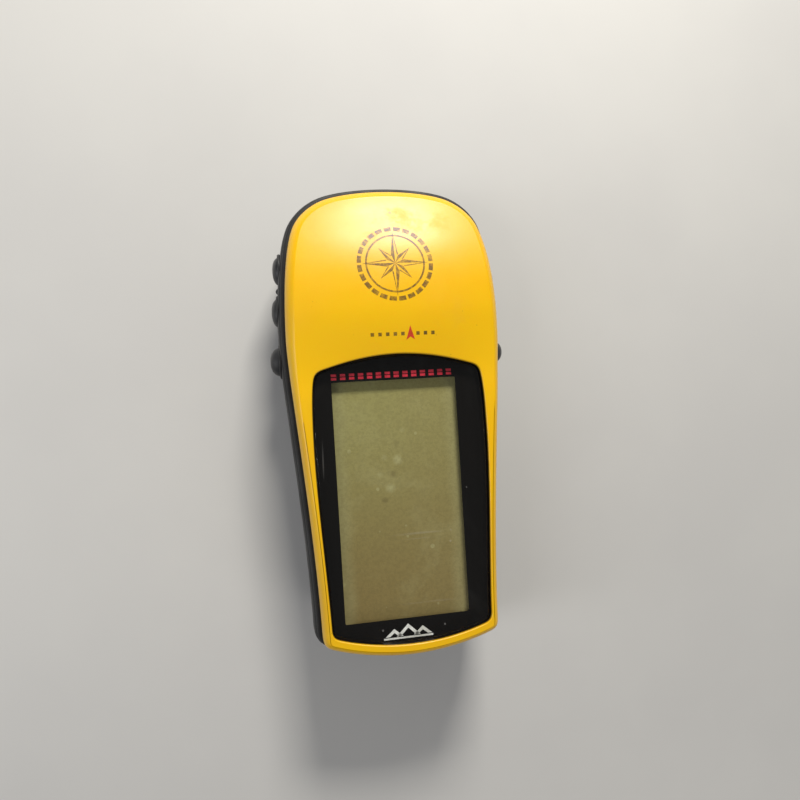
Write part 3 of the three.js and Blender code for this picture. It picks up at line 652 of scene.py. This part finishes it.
def finished(piece, body, nodes, slot, crease_deg=32.0):
    """Scales a piece to metres, smooths it, and ties it to its body, CAD nodes and material."""
    piece.data.transform(Matrix.Scale(MM, 4))
    piece.data.materials.clear()
    piece.data.materials.append(LOOKS[slot])
    piece.data.shade_smooth()
    piece.data.set_sharp_from_angle(angle=math.radians(crease_deg))
    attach(piece, body)
    if nodes:
        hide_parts(*nodes)
    return piece


# ---- Front shell -------------------------------
BOARD_SCREWS = ((-15.5, 43.0), (15.5, 43.0), (-17.6, 22.6), (17.6, 22.6))
LIP_RADIUS = 0.3
ROLL_DROP = 3.3
ROLL_START_DEG = 22.0
SURFACE_RINGS = 30


def roll_width(y):
    return 1.5 + 0.6 * smooth((y - 2) / 25)


def front_shell():
    inner, edge = offset(WINDOW_EDGE, -1.6), offset(WINDOW_EDGE, 0)
    rings = [at_z(inner, LEDGE_BOTTOM_Z), at_z(inner, LEDGE_Z), at_z(edge, LEDGE_Z),
             at_z(edge, RIM_Z - 0.9)]
    for a in np.linspace(0, math.pi / 2, 7):
        place = offset(WINDOW_EDGE, LIP_RADIUS * (1 - math.cos(a)))
        drop = LIP_RADIUS * (1 - math.sin(a))
        rings.append(at_z(place, under_front(drop)))
    crest = offset(WINDOW_EDGE, LIP_RADIUS + 0.05)
    width = roll_width(BODY[0][:, 1])
    shoulder = offset(BODY, -width)
    for share in np.linspace(0, 1, SURFACE_RINGS)[:-1]:
        rings.append(at_z(crest + (shoulder - crest) * share, front_z))
    rings.append(at_z(offset(BODY, -width - 0.12), front_z))
    start = math.radians(ROLL_START_DEG)
    for a in np.linspace(start, math.pi / 2, 13):
        along = (math.sin(a) - math.sin(start)) / (1 - math.sin(start))
        place = offset(BODY, -width * (1 - along))
        drop = ROLL_DROP * (1 - math.cos(a) / math.cos(start))
        rings.append(at_z(place, under_front(drop)))
    rings += [at_z(offset(BODY, d), z) for d, z in (
        (0, SEAM_Z + 0.25), (-0.08, SEAM_Z + 0.08), (-0.25, SEAM_Z), (REBATE, SEAM_Z),
        (REBATE, SKIRT_Z), (SKIRT_INNER, SKIRT_Z), (SKIRT_INNER, LEDGE_BOTTOM_Z))]
    shell = hoop("front_moulding", rings[::-1])
    rim = rounded(dict(x=18.6, bottom=17.6, top=49.0, corner=7.0))
    middle = rim.mean(axis=0)

    def towards(share):
        return rim + (middle - rim) * share

    hollow = stack("hollow", [
        at_z(rim, LEDGE_BOTTOM_Z - 1), at_z(rim, under_front(3.2)),
        *[at_z(towards(share), under_front(drop))
          for share, drop in ((0.08, 2.3), (0.2, 2.0), (0.6, 2.0))]])
    cut(shell, hollow)
    join(shell, *[rod("boss", 2.3, 20.75, 25.4, *at, sides=24) for at in BOARD_SCREWS])
    cut(shell, *[rod("pilot", 1.15, 19.0, 24.4, *at, sides=24) for at in BOARD_SCREWS])
    cut(shell, *[key_prism("pocket", k, KEY_POCKET, 3) for k in KEYS])
    front_grime_shade_and_glue(shell.data)
    return finished(shell, "case", ["front_shell"], "yellow_shell", 38)


def front_grime_shade_and_glue(mesh):
    """Marks where dirt gathers and where shade is painted, darker deeper down the window's lip and
    along the lower seam, and the black glue between the window and the wall round it."""
    co = np.empty(len(mesh.vertices) * 3)
    mesh.vertices.foreach_get("co", co)
    co = co.reshape(-1, 3)
    edge = WINDOW_EDGE[0]
    gap = np.sqrt(((co[:, None, :2] - edge[None, :, :]) ** 2).sum(-1)).min(axis=1)
    depth = front_z(co[:, 0], co[:, 1]) - co[:, 2]
    # Painted shade with grime: the lip darkens the deeper it sinks below the front face, and the
    # seam darkens too.
    lip = np.exp(-gap / 0.35) * np.clip(depth / 0.5, 0.15, 1)
    seam = np.exp(-np.abs(co[:, 2] - SEAM_Z) / 0.35)
    grime_and_shade = np.clip(np.maximum(lip * 0.9, seam * 0.6), 0, 1)
    below_lens = np.clip((LENS_TOP_Z + 0.3 - co[:, 2]) / 0.2, 0, 1)
    glue = (gap < 0.2) * (co[:, 2] > LEDGE_BOTTOM_Z) * below_lens
    for name, values in (("grime_and_shade", grime_and_shade), ("glue", glue)):
        layer = mesh.attributes.new(name, "FLOAT", "POINT")
        layer.data.foreach_set("value", values.astype(np.float32))


front_shell()


# ---- Window and its mask -----------------------
def lens():
    rings = [at_z(offset(WINDOW_EDGE, -0.25), LENS_Z)]
    for a in np.linspace(0, math.pi / 2, 6):
        rings.append(at_z(offset(WINDOW_EDGE, -0.25 - 0.4 * (1 - math.cos(a))),
                          LENS_TOP_Z - 0.4 * (1 - math.sin(a))))
    for share in (0.05, 0.3, 0.6, 0.9):
        rings.append(at_z(offset(WINDOW_EDGE, -0.65) * (1 - share), LENS_TOP_Z))
    return finished(stack("window_lens", rings), "case", ["display_lens"], "clear_lens", 50)


def mask():
    sheet = stack("window_mask", [at_z(offset(WINDOW_EDGE, -0.3), MASK_Z),
                                  at_z(offset(WINDOW_EDGE, -0.3), LENS_Z - 0.05)])
    opening = dict(x=WINDOW["width"] / 2, bottom=WINDOW["y"] - WINDOW["height"] / 2,
                   top=WINDOW["y"] + WINDOW["height"] / 2, corner=0.35)
    hole = rounded(opening, steps=4) + np.array([WINDOW["x"], 0])
    cut(sheet, stack("hole", [at_z(hole, 20), at_z(hole, 30)]))
    return finished(sheet, "case", ["lens_mask"], "mask_print")


lens()
mask()


# ---- Rear housing ------------------------------
def back_rings(side_inset, back_inset, lift, rounds):
    side, flat = offset(BODY, side_inset), offset(BACK, back_inset)
    rings = []
    for k in range(rounds + 1):
        a = k / rounds * math.pi / 2
        level = BACK_EDGE_Z * (1 - math.sin(a))
        fade = 1 - level / BACK_EDGE_Z
        place = side + (flat - side) * (1 - math.cos(a))
        rings.append(at_z(place, lambda x, y, level=level, fade=fade:
                          level + lift * fade + back_rise(y) * fade))
    for share in (0.15, 0.35, 0.55, 0.75, 0.9):
        rings.append(at_z(flat * (1 - share), lambda x, y: lift + back_rise(y)))
    return rings[::-1]


ANCHOR_Y = 43.4


def anchor_shape(name, by, extra):
    level = float(back_rise(ANCHOR_Y))
    half_long, radius, tall = 2.6 + by, 1.1 + by, 1.3 + by
    return turned(name, [(radius, level - extra), (radius, level + tall)], (0, ANCHOR_Y, 0),
                  squash=(half_long / radius, 1))


def rear_housing():
    ledge = offset(BODY, REBATE)
    outside_rings = [*back_rings(0.35, 0, 0, 14), at_z(offset(BODY, 0.35), BAND_BOTTOM_Z - 0.45),
                     at_z(offset(BODY, 0.2), BAND_BOTTOM_Z - RUN),
                     at_z(ledge, BAND_BOTTOM_Z - RUN), at_z(ledge, PARTING_Z)]
    housing = stack("rear_moulding", outside_rings)
    inside = stack("inside", [*back_rings(HOUSING_INNER, -2.0, 1.9, 6),
                              at_z(offset(BODY, HOUSING_INNER), PARTING_Z + 1)])
    fill = slab("bay", BAY["x"] + BAY["wall"], BAY["bottom"] - BAY["wall"],
                BAY["top"] + BAY["wall"], DOOR_LEDGE_Z, BAY["roof"])
    join(fill, slab("tab_block", 14.0, BAY["top"], 14.0, 1.0, 6.0),
         rod("well", PORT["well"] + PORT["wall"], 2.0, PORT["well_top"], 0, PORT["y"]),
         plate("cap_seat", CAP, 1.0, 5.4, 1.5), plate("door_wall", DOOR, 1.0, LEDGE_TOP_Z, 1.4))
    allowed = stack("allowed", outside_rings)
    upper = offset(BODY, SKIRT_INNER - RUN)
    join(allowed, stack("upper", [at_z(upper, PARTING_Z - 1), at_z(upper, BAY["roof"])]))
    combine(fill, "INTERSECT", [allowed])
    cut(housing, inside)
    join(housing, fill)
    top = BAY["top"]
    tools = [
        slab("mouth", BAY["x"], BAY["mouth_bottom"], top, -1, LEDGE_TOP_Z + 0.1),
        slab("room", BAY["x"], BAY["bottom"], top, LEDGE_TOP_Z, BAY["ceiling"]),
        plate("recess", DOOR, -1, DOOR_LEDGE_Z, RUN),
        stack("cap_recess", [at_z(rounded(CAP, RUN + 0.05), -1), at_z(
            rounded(CAP, RUN + 0.05), lambda x, y: back_rise(y) + CAP_THICK + RUN)]),
        anchor_shape("anchor_hole", RUN, 1.0),
        rod("socket", PORT["well"], -1, PORT["well_top"] + 1, 0, PORT["y"]),
    ]
    for x0, x1 in DOOR_TABS:
        tools.append(box("tab_pocket", (x0 - 0.4, DOOR["top"] - 2.4, 1.9),
                         (x1 + 0.4, DOOR["top"] + 2.4, 4.9)))
    for k, (side, y, _) in KEYS.items():
        x = half_width(y)
        tools.append(key_prism("pocket", k, KEY_POCKET, 3))
        low, high = sorted((side * 15.0, side * (x + 1)))
        tools.append(turned("stem_hole", [(KEY_STEM + 0.3, low), (KEY_STEM + 0.3, high)],
                            (0, y, KEY_Z), "x", sides=32))
    cut(housing, *tools)
    y = LATCH["y"]
    rib = slab("rib", 0.35, y - 12, y + 12, 5.0, BAY["ceiling"] + 0.5)
    join(rib, slab("pillar", 1.9, y - 5.2, y - 3.4, 5.0, 6.1),
         slab("pillar", 1.9, y + 3.4, y + 5.2, 5.0, 6.1),
         slab("catch", 2.75, y - 5.2, y + 5.2, 4.6, 5.2))
    cut(rib, rod("post_hole", 2.15, 4, 8.2, 0, y))
    join(housing, rib)
    return finished(housing, "case", ["rear_housing"], "black_plastic")


rear_housing()

# ---- Grip band ---------------------------------
BAND_PROFILE = (
    (BAND_INNER, 8.5), (0.3, 8.5), (0.5, 8.56), (0.8, 8.8), (1.08, 9.2), (1.3, 9.75),
    (1.5, 10.5), (1.66, 11.5), (1.82, 12.9), (1.9, 14.5), (1.89, 15.9), (1.83, 17.3),
    (1.72, 18.4), (1.58, 19.1), (1.3, 19.55), (1.12, 19.68), (1.02, 19.85), (1.08, 20.05),
    (1.13, 20.3), (1.1, 20.52), (0.98, 20.72), (0.78, 20.85), (0.55, 20.9),
    (BAND_INNER, 20.9),
)
COLLAR = 0.42
PIP = dict(y=32.45, z=15.4, radius=0.8)


def collar(key):
    """A raised oval lip round a key's hole."""
    side, y, _ = KEYS[key]
    a = np.linspace(0, 2 * math.pi, 13)[:-1]
    sides = 72
    turn = np.arange(sides) * 2 * math.pi / sides
    rings = []
    for t in a:
        reach = COLLAR * math.cos(t)
        x = side * (half_width(y) + BAND_BULGE - 0.22 + COLLAR * math.sin(t))
        ry, rz = KEY_Y + KEY_GAP + 0.45 + reach, KEY_HALF_Z + KEY_GAP + 0.45 + reach
        rings.append(np.c_[np.full(sides, x), y + ry * np.cos(turn), KEY_Z + rz * np.sin(turn)])
    return hoop("collar", rings if side < 0 else rings[::-1])


def grip_band():
    band = hoop("grip_moulding", [at_z(offset(BODY, d), z) for d, z in BAND_PROFILE])
    x = -(half_width(PIP["y"]) + BAND_BULGE - 0.35)
    pip = [(PIP["radius"] * math.cos(a), PIP["radius"] * math.sin(a))
           for a in np.linspace(0, math.pi / 2 - 0.01, 8)]
    dot = turned("pip", [(PIP["radius"], -0.5), *pip], (x, PIP["y"], PIP["z"]), "-x", sides=32)
    cut(band, *[key_prism("hole", k, -4, 5) for k in KEYS])
    gather(band, dot, *[collar(k) for k in KEYS])
    return finished(band, "case", ["grip_band"], "rubber_band")


grip_band()


# ---- Keys --------------------------------------
def key(name):
    side, y, tall = KEYS[name]
    x = half_width(y)
    profile = [(0.0, x - 4.15), (KEY_STEM, x - 4.15), (KEY_STEM, x + KEY_INNER),
               (KEY_Y, x + KEY_INNER), (KEY_Y, x + BAND_BULGE - 0.5)]
    crest = x + BAND_BULGE + tall
    base = x + BAND_BULGE - 0.5
    for a in np.linspace(0.12, math.pi / 2, 14):
        r = KEY_Y * math.cos(a) ** 0.8
        profile.append((r, base + (crest - base) * math.sin(a) ** 0.85))
    squash = (1, KEY_HALF_Z / KEY_Y)
    cap = turned("key_" + name, profile, (0, y, KEY_Z), "x" if side > 0 else "-x",
                 squash, sides=56)
    return finished(cap, "key_" + name, ["button_" + name], "key_rubber", 40)


for name in KEYS:
    key(name)


# ---- Battery door and latch --------------------
def battery_door():
    door = stack("door_moulding", [at_z(rounded(DOOR, by), z) for by, z in (
        (-0.55, 0.0), (-0.42, 0.04), (-0.2, 0.16), (-0.05, 0.36), (0, 0.6), (0, DOOR_EDGE_Z))])
    plug = dict(x=14.8, bottom=-45.6, top=BAY["top"] - 0.5, corner=3.0)
    y = LATCH["y"]
    extras = [plate("plug", plug, 2.0, DOOR_PLUG_Z), rod("boss", 3.9, 2.0, 3.9, 0, y)]
    for x0, x1 in DOOR_TABS:
        extras.append(box("tab_root", (x0, DOOR["top"] - 1.5, 1.5), (x1, DOOR["top"] - 0.7, 3.2)))
        extras.append(box("tab", (x0, DOOR["top"] - 1.5, 2.4), (x1, DOOR["top"] + 1.8, 3.2)))
    join(door, *extras)
    r = LATCH["dish"]
    dish = [(r + 0.5, -0.5), (r + 0.5, 0.0), (r + 0.22, 0.06), (r + 0.06, 0.22), (r, 0.45),
            (r, 1.9), (r - 0.15, 2.2), (r - 0.5, LATCH["dish_z"])]
    cut(door, turned("dish", dish, (0, y, 0), sides=96),
        rod("head_seat", LATCH["head"] + 0.3, -1, 2.95, 0, y),
        rod("shaft_hole", LATCH["shaft"] + 0.15, -1, 5, 0, y))
    grip = []
    for k in range(6):
        level = DOOR["top"] - 6.0 - 2.0 * k
        half = 9.5 - 0.35 * k
        ends = [(half * math.cos(a), 0.45 * math.sin(a)) for a in
                np.linspace(0, 2 * math.pi, 25)[:-1]]
        groove = np.array([(math.copysign(half - 0.45, u) + 0.45 * u / half, v) if abs(u) > 1e-6
                           else (0, v) for u, v in ends]) + np.array([0, level])
        grip.append(stack("groove", [at_z(groove, -0.5), at_z(groove, 0.35)]))
    cut(door, *grip)
    return finished(door, "battery_door", ["battery_door"], "door_plastic")


def latch_post():
    r, shaft, y = LATCH["head"], LATCH["shaft"], LATCH["y"]
    head = [(r - 0.45, 0.25), (r - 0.2, 0.31), (r - 0.05, 0.5), (r, 0.75), (r, 2.85),
            (shaft, 2.85), (shaft, 5.85), (shaft - 0.15, 6.0)]
    post = turned("latch_pin", head, (0, y, 0), sides=72)
    join(post, slab("lug", 1.0, y - 1.7, y + 1.7, 5.4, 6.0))
    holes = [turned("hole", [(0.85, low), (0.85, high)], (0, y, LATCH["pivot_z"]), "x", sides=32)
             for low, high in ((-4, -1.4), (1.4, 4))]
    cut(post, *holes, slab("slot", 2.1, y - 0.35, y + 0.35, 0, 0.65))
    return finished(post, "latch_post", ["latch_post"], "latch_steel")


def between(s, start, stop, p, q):
    return (stop - s) / (stop - start) * p + (s - start) / (stop - start) * q


def smooth_path(points, per_span=8):
    """A centripetal curve through the points, with its unit tangents."""
    p = np.array(points, float)
    p = np.vstack([2 * p[0] - p[1], p, 2 * p[-1] - p[-2]])
    out = []
    for a, b, c, d in zip(p[:-3], p[1:-2], p[2:-1], p[3:]):
        k = [0.0]
        for u, v in ((a, b), (b, c), (c, d)):
            k.append(k[-1] + np.linalg.norm(v - u) ** 0.5)
        for s in np.linspace(k[1], k[2], per_span, endpoint=False):
            a1, a2, a3 = [between(s, k[n], k[n + 1], u, v)
                          for n, (u, v) in enumerate(((a, b), (b, c), (c, d)))]
            b1, b2 = between(s, k[0], k[2], a1, a2), between(s, k[1], k[3], a2, a3)
            out.append(between(s, k[1], k[2], b1, b2))
    out = np.array([*out, p[-2]])
    tangents = np.gradient(out, axis=0)
    return out, tangents / np.linalg.norm(tangents, axis=1)[:, None]


def latch_ring():
    wire, arm, reach = 0.75, 5.6, 8.3
    plan = [(-1.9, 0), (1 - arm, 0), (-arm, 0.9), (-arm, 4.2), (1 - arm, 6.8),
            (-2.8, reach - 0.2), (0, reach), (2.8, reach - 0.2), (arm - 1, 6.8), (arm, 4.2),
            (arm, 0.9), (arm - 1, 0), (1.9, 0)]
    path, tangents = smooth_path([(x, LATCH["y"] + y) for x, y in plan])
    turn = np.arange(20) * 2 * math.pi / 20
    rings = []
    for (x, y), (tx, ty) in zip(path, tangents):
        across = wire * np.cos(turn)
        rings.append(np.c_[x + ty * across, y - tx * across,
                           LATCH["pivot_z"] + wire * np.sin(turn)])
    return finished(stack("lifting_ring", rings), "latch_ring", ["latch_ring"], "latch_steel")


battery_door()
latch_post()
latch_ring()


# ---- Port cap ----------------------------------
def port_cap():
    rings = []
    for inset, lift in ((-0.6, 0.0), (-0.42, 0.05), (-0.18, 0.2), (-0.04, 0.42), (0, 0.7),
                        (0, CAP_THICK)):
        rings.append(at_z(rounded(CAP, inset), lambda x, y, lift=lift: back_rise(y) + lift))
    cap = stack("cap_moulding", rings)
    boss_top = float(back_rise(PORT["y"])) + CAP_THICK + CAP_BOSS_TALL
    r = CAP_BOSS
    boss = [(r, 2.2), (r, boss_top - 1.4), (r - 0.15, boss_top - 1.25),
            (r - 0.15, boss_top - 0.9), (r, boss_top - 0.75), (r, boss_top - 0.3),
            (r - 0.3, boss_top)]
    join(cap, turned("boss", boss, (0, PORT["y"], 0)))
    notches = []
    for k in range(4):
        level = CAP["bottom"] + 1.7 + 1.3 * k
        low = float(back_rise(level))
        notches.append(box("notch", (-4.6, level - 0.3, -1), (4.6, level + 0.3, low + 0.35)))
    cut(cap, *notches)
    return finished(cap, "port_cap", ["port_cap"], "cap_rubber")


port_cap()
finished(anchor_shape("strap_anchor", 0, 0), "case", ["port_cap_anchor"], "cap_rubber")


# ---- Cells -------------------------------------
def cell(side, nub_at_top):
    r, length = CELL["radius"], CELL["length"]
    profile = [(0, 0), (r - 1.1, 0), (r - 0.75, 0.12), (r - 0.5, 0.1), (r - 0.12, 0.18), (r, 0.5),
               (r, length - 1.75), (r - 0.12, length - 1.25), (r - 0.5, length - 1.1),
               (r - 0.9, length - 1.3), (3.2, length - 1.25), (2.8, length - 1.1),
               (2.7, length - 0.3), (2.4, length), (0, length)]
    name, sign = ("left", -1) if side < 0 else ("right", 1)
    place = (sign * CELL["x"], CELL["bottom"], CELL["z"])
    if not nub_at_top:
        profile = [(a, length - h) for a, h in profile[::-1]]
    made = turned("cell_" + name, profile, place, "y")
    made = finished(made, "case", ["battery_" + name], "cell_wrap")
    made.data.materials.append(LOOKS["can_steel"])
    made.data.materials.append(LOOKS["cell_band"])
    for face in made.data.polygons:
        along = (face.center.y / MM - CELL["bottom"]) / length
        along = along if nub_at_top else 1 - along
        radial = math.hypot(face.center.x / MM - place[0], face.center.z / MM - place[2])
        face.material_index = 1 if radial < r - 0.55 else (2 if along > 0.72 else 0)
    return made


LOOKS["cell_band"] = brushed("cell_band", (0.55, 0.27, 0.1), 0.3, (0.3, 0.15, 0.06))


cell(-1, True)
cell(1, False)

# ---- Printed marks -----------------------------
INK_LIFT = 0.03


def decal(name, shapes, level, material, fine=0.9):
    """Flat shapes laid on a surface: each shape is a convex polygon of (x, y) corners, cut into
    small triangles so that it follows the surface."""
    vertices, faces = [], []
    for shape in shapes:
        p = np.array(shape, float)
        fan = [(p[0], p[i], p[i + 1]) for i in range(1, len(p) - 1)]
        while fan:
            a, b, c = fan.pop()
            sides = [np.linalg.norm(b - a), np.linalg.norm(c - b), np.linalg.norm(a - c)]
            if max(sides) > fine:
                k = int(np.argmax(sides))
                u, v, w = [(a, b, c), (b, c, a), (c, a, b)][k]
                m = (u + v) / 2
                fan += [(u, m, w), (m, v, w)]
                continue
            start = len(vertices)
            vertices += [a, b, c]
            faces.append((start, start + 1, start + 2))
    flat = np.array(vertices)
    area = np.cross(flat[1::3] - flat[0::3], flat[2::3] - flat[0::3])
    faces = [f if s > 0 else f[::-1] for f, s in zip(faces, area)]
    made = mesh_object(name, at_z(flat, level), faces)
    made.data.transform(Matrix.Scale(MM, 4))
    made.data.materials.append(material)
    made.data.shade_smooth()
    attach(made, "case")
    return made


def on_shell(x, y):
    return front_z(x, y) + INK_LIFT


def arc_shapes(centre, radius, width, start, stop, steps):
    """A curved stroke as short quads, from one angle in degrees to another."""
    a = np.radians(np.linspace(start, stop, steps + 1))
    ring = np.c_[np.cos(a), np.sin(a)]
    c = np.array(centre)
    inner, outer = c + ring * (radius - width / 2), c + ring * (radius + width / 2)
    return [(inner[i], outer[i], outer[i + 1], inner[i + 1]) for i in range(steps)]


def compass_rose(centre=(0.57, 35.7), radius=8.8):
    """A plain compass rose: a dashed ring, an inner ring and an eight-pointed star."""
    c = np.array(centre)
    shapes = []
    for k in range(24):
        shapes += arc_shapes(centre, radius - 0.5, 1.0, 15 * k + 1.8, 15 * k + 13.2, 3)
    shapes += arc_shapes(centre, radius * 0.76, 0.42, 0, 360, 72)
    for k in range(8):
        reach = radius * (0.86 if k % 2 == 0 else 0.58)
        waist = radius * (0.25 if k % 2 == 0 else 0.22)
        tip, left, right = [math.radians(90 - 45 * k + t) for t in (0, 22.5, -22.5)]
        at = [c + r * np.array([math.cos(a), math.sin(a)])
              for r, a in ((reach, tip), (waist, left), (waist, right))]
        shapes.append((c, at[0], at[1]))
        edge = 0.3
        along = (at[0] - at[2]) / np.linalg.norm(at[0] - at[2])
        across = np.array([-along[1], along[0]]) * edge
        shapes.append((at[2], at[0], at[0] + across * 0.2, at[2] + across))
    return shapes


def heading_mark():
    """An upright marker in the middle of a dotted track."""
    centre, low, dot, pitch = 3.05, 18.1, 0.8, 1.75
    pointer = [((centre - 1.0, low), (centre, low + 0.7), (centre, low + 3.2)),
               ((centre, low + 0.7), (centre + 1.0, low), (centre, low + 3.2))]
    dots = []
    for k in (-5, -4, -3, -2, -1, 1, 2, 3):
        x, y = centre + pitch * k - dot / 2, low + 1.0
        dots.append(((x, y), (x + dot, y), (x + dot, y + dot), (x, y + dot)))
    return pointer, dots


def level_blocks():
    """Two rows of blocks, like a signal scale."""
    shapes = []
    for k in range(14):
        x, low, wide = -15.4 + 2.08 * k, 9.85, 1.25
        for level in (low, low + 0.78):
            top = level + 0.6
            shapes.append(((x, level), (x + wide, level), (x + wide, top), (x, top)))
    return shapes


def peaks():
    """Three mountain peaks on a line."""
    y = -50.0
    shapes = []
    for x, half, tall in ((-4.3, 2.1, 1.8), (-1.0, 2.8, 2.7), (2.4, 2.2, 1.9)):
        for side in (-1, 1):
            foot, inner = (x + side * half, y), (x + side * (half - 1.0), y)
            shapes.append((foot, inner, (x, y + tall - 0.95), (x, y + tall)))
    shapes.append(((-6.8, y - 0.62), (4.8, y - 0.62), (4.8, y - 0.2), (-6.8, y - 0.2)))
    return shapes


# The rose's paler purple-grey upper tone is a painted highlight.
ROSE_INK = printed("rose_ink", (0.13, 0.07, 0.015), 0.7, 0.5, upper=(0.24, 0.16, 0.2))
GREY_INK = printed("grey_ink", (0.13, 0.085, 0.014), 0.8, 0.3)
RED_INK = printed("red_ink", (0.62, 0.04, 0.02), 0.95, 0.35)
LENS_RED = printed("scale_ink", (0.62, 0.018, 0.045), 1.0, 0.15)
WHITE_INK = printed("white_ink", (0.78, 0.77, 0.74), 1.0, 0.12)

decal("mark_rose", compass_rose(), on_shell, ROSE_INK)
pointer, dots = heading_mark()
decal("mark_pointer", pointer, on_shell, RED_INK)
decal("mark_track", dots, on_shell, GREY_INK)
mask_top = LENS_Z - 0.05 + 0.02  # just above the mask's print
decal("mark_scale", level_blocks(), mask_top, LENS_RED)
decal("mark_peaks", peaks(), mask_top, WHITE_INK)


# ---- Stage -------------------------------------
FLOOR_HALF, FLOOR_DROP = 900.0, 0.05


def floor():
    half = FLOOR_HALF
    made = mesh_object("floor", [(-half, -half, 0), (half, -half, 0), (half, half, 0),
                                 (-half, half, 0)], [(0, 1, 2, 3)])
    made.data.transform(Matrix.Scale(MM, 4))
    made.location.z = -FLOOR_DROP * MM
    look = Look("floor_pale")
    base = look.mix(look.span(look.noise(14, 4), 0.3, 0.7), (0.62, 0.61, 0.59), (0.59, 0.58, 0.565))
    made.data.materials.append(look.set(colour=base, roughness=0.7,
                                        normal=look.bump(look.noise(900, 2), 0.15, 0.05)))


def softbox(name, place, aim, size, watts, colour=(1, 1, 1)):
    data = bpy.data.lights.new(name, "AREA")
    data.shape, data.size, data.size_y = "RECTANGLE", size[0] * MM, size[1] * MM
    data.energy, data.color = watts, colour
    light = bpy.data.objects.new(name, data)
    light.location = Vector(place) * MM
    way = (Vector(aim) - Vector(place)).normalized()
    light.rotation_euler = way.to_track_quat("-Z", "Y").to_euler()
    scene.collection.objects.link(light)


floor()
softbox("key", (69, 395, 287), (0, 46, 27), (150, 90), 2.6, (1.0, 0.97, 0.9))
softbox("fill", (-330, -40, 260), (0, 0, 20), (90, 360), 0.5, (0.96, 0.97, 1.0))
softbox("low", (200, -280, 200), (0, -10, 20), (240, 160), 0.2, (1.0, 0.98, 0.95))
world = bpy.data.worlds.new("studio")
world.use_nodes = True
sky = world.node_tree.nodes["Background"]
sky.inputs[0].default_value = (0.9, 0.92, 0.95, 1)
sky.inputs[1].default_value = 0.16
scene.world = world
scene.view_settings.view_transform = "Standard"
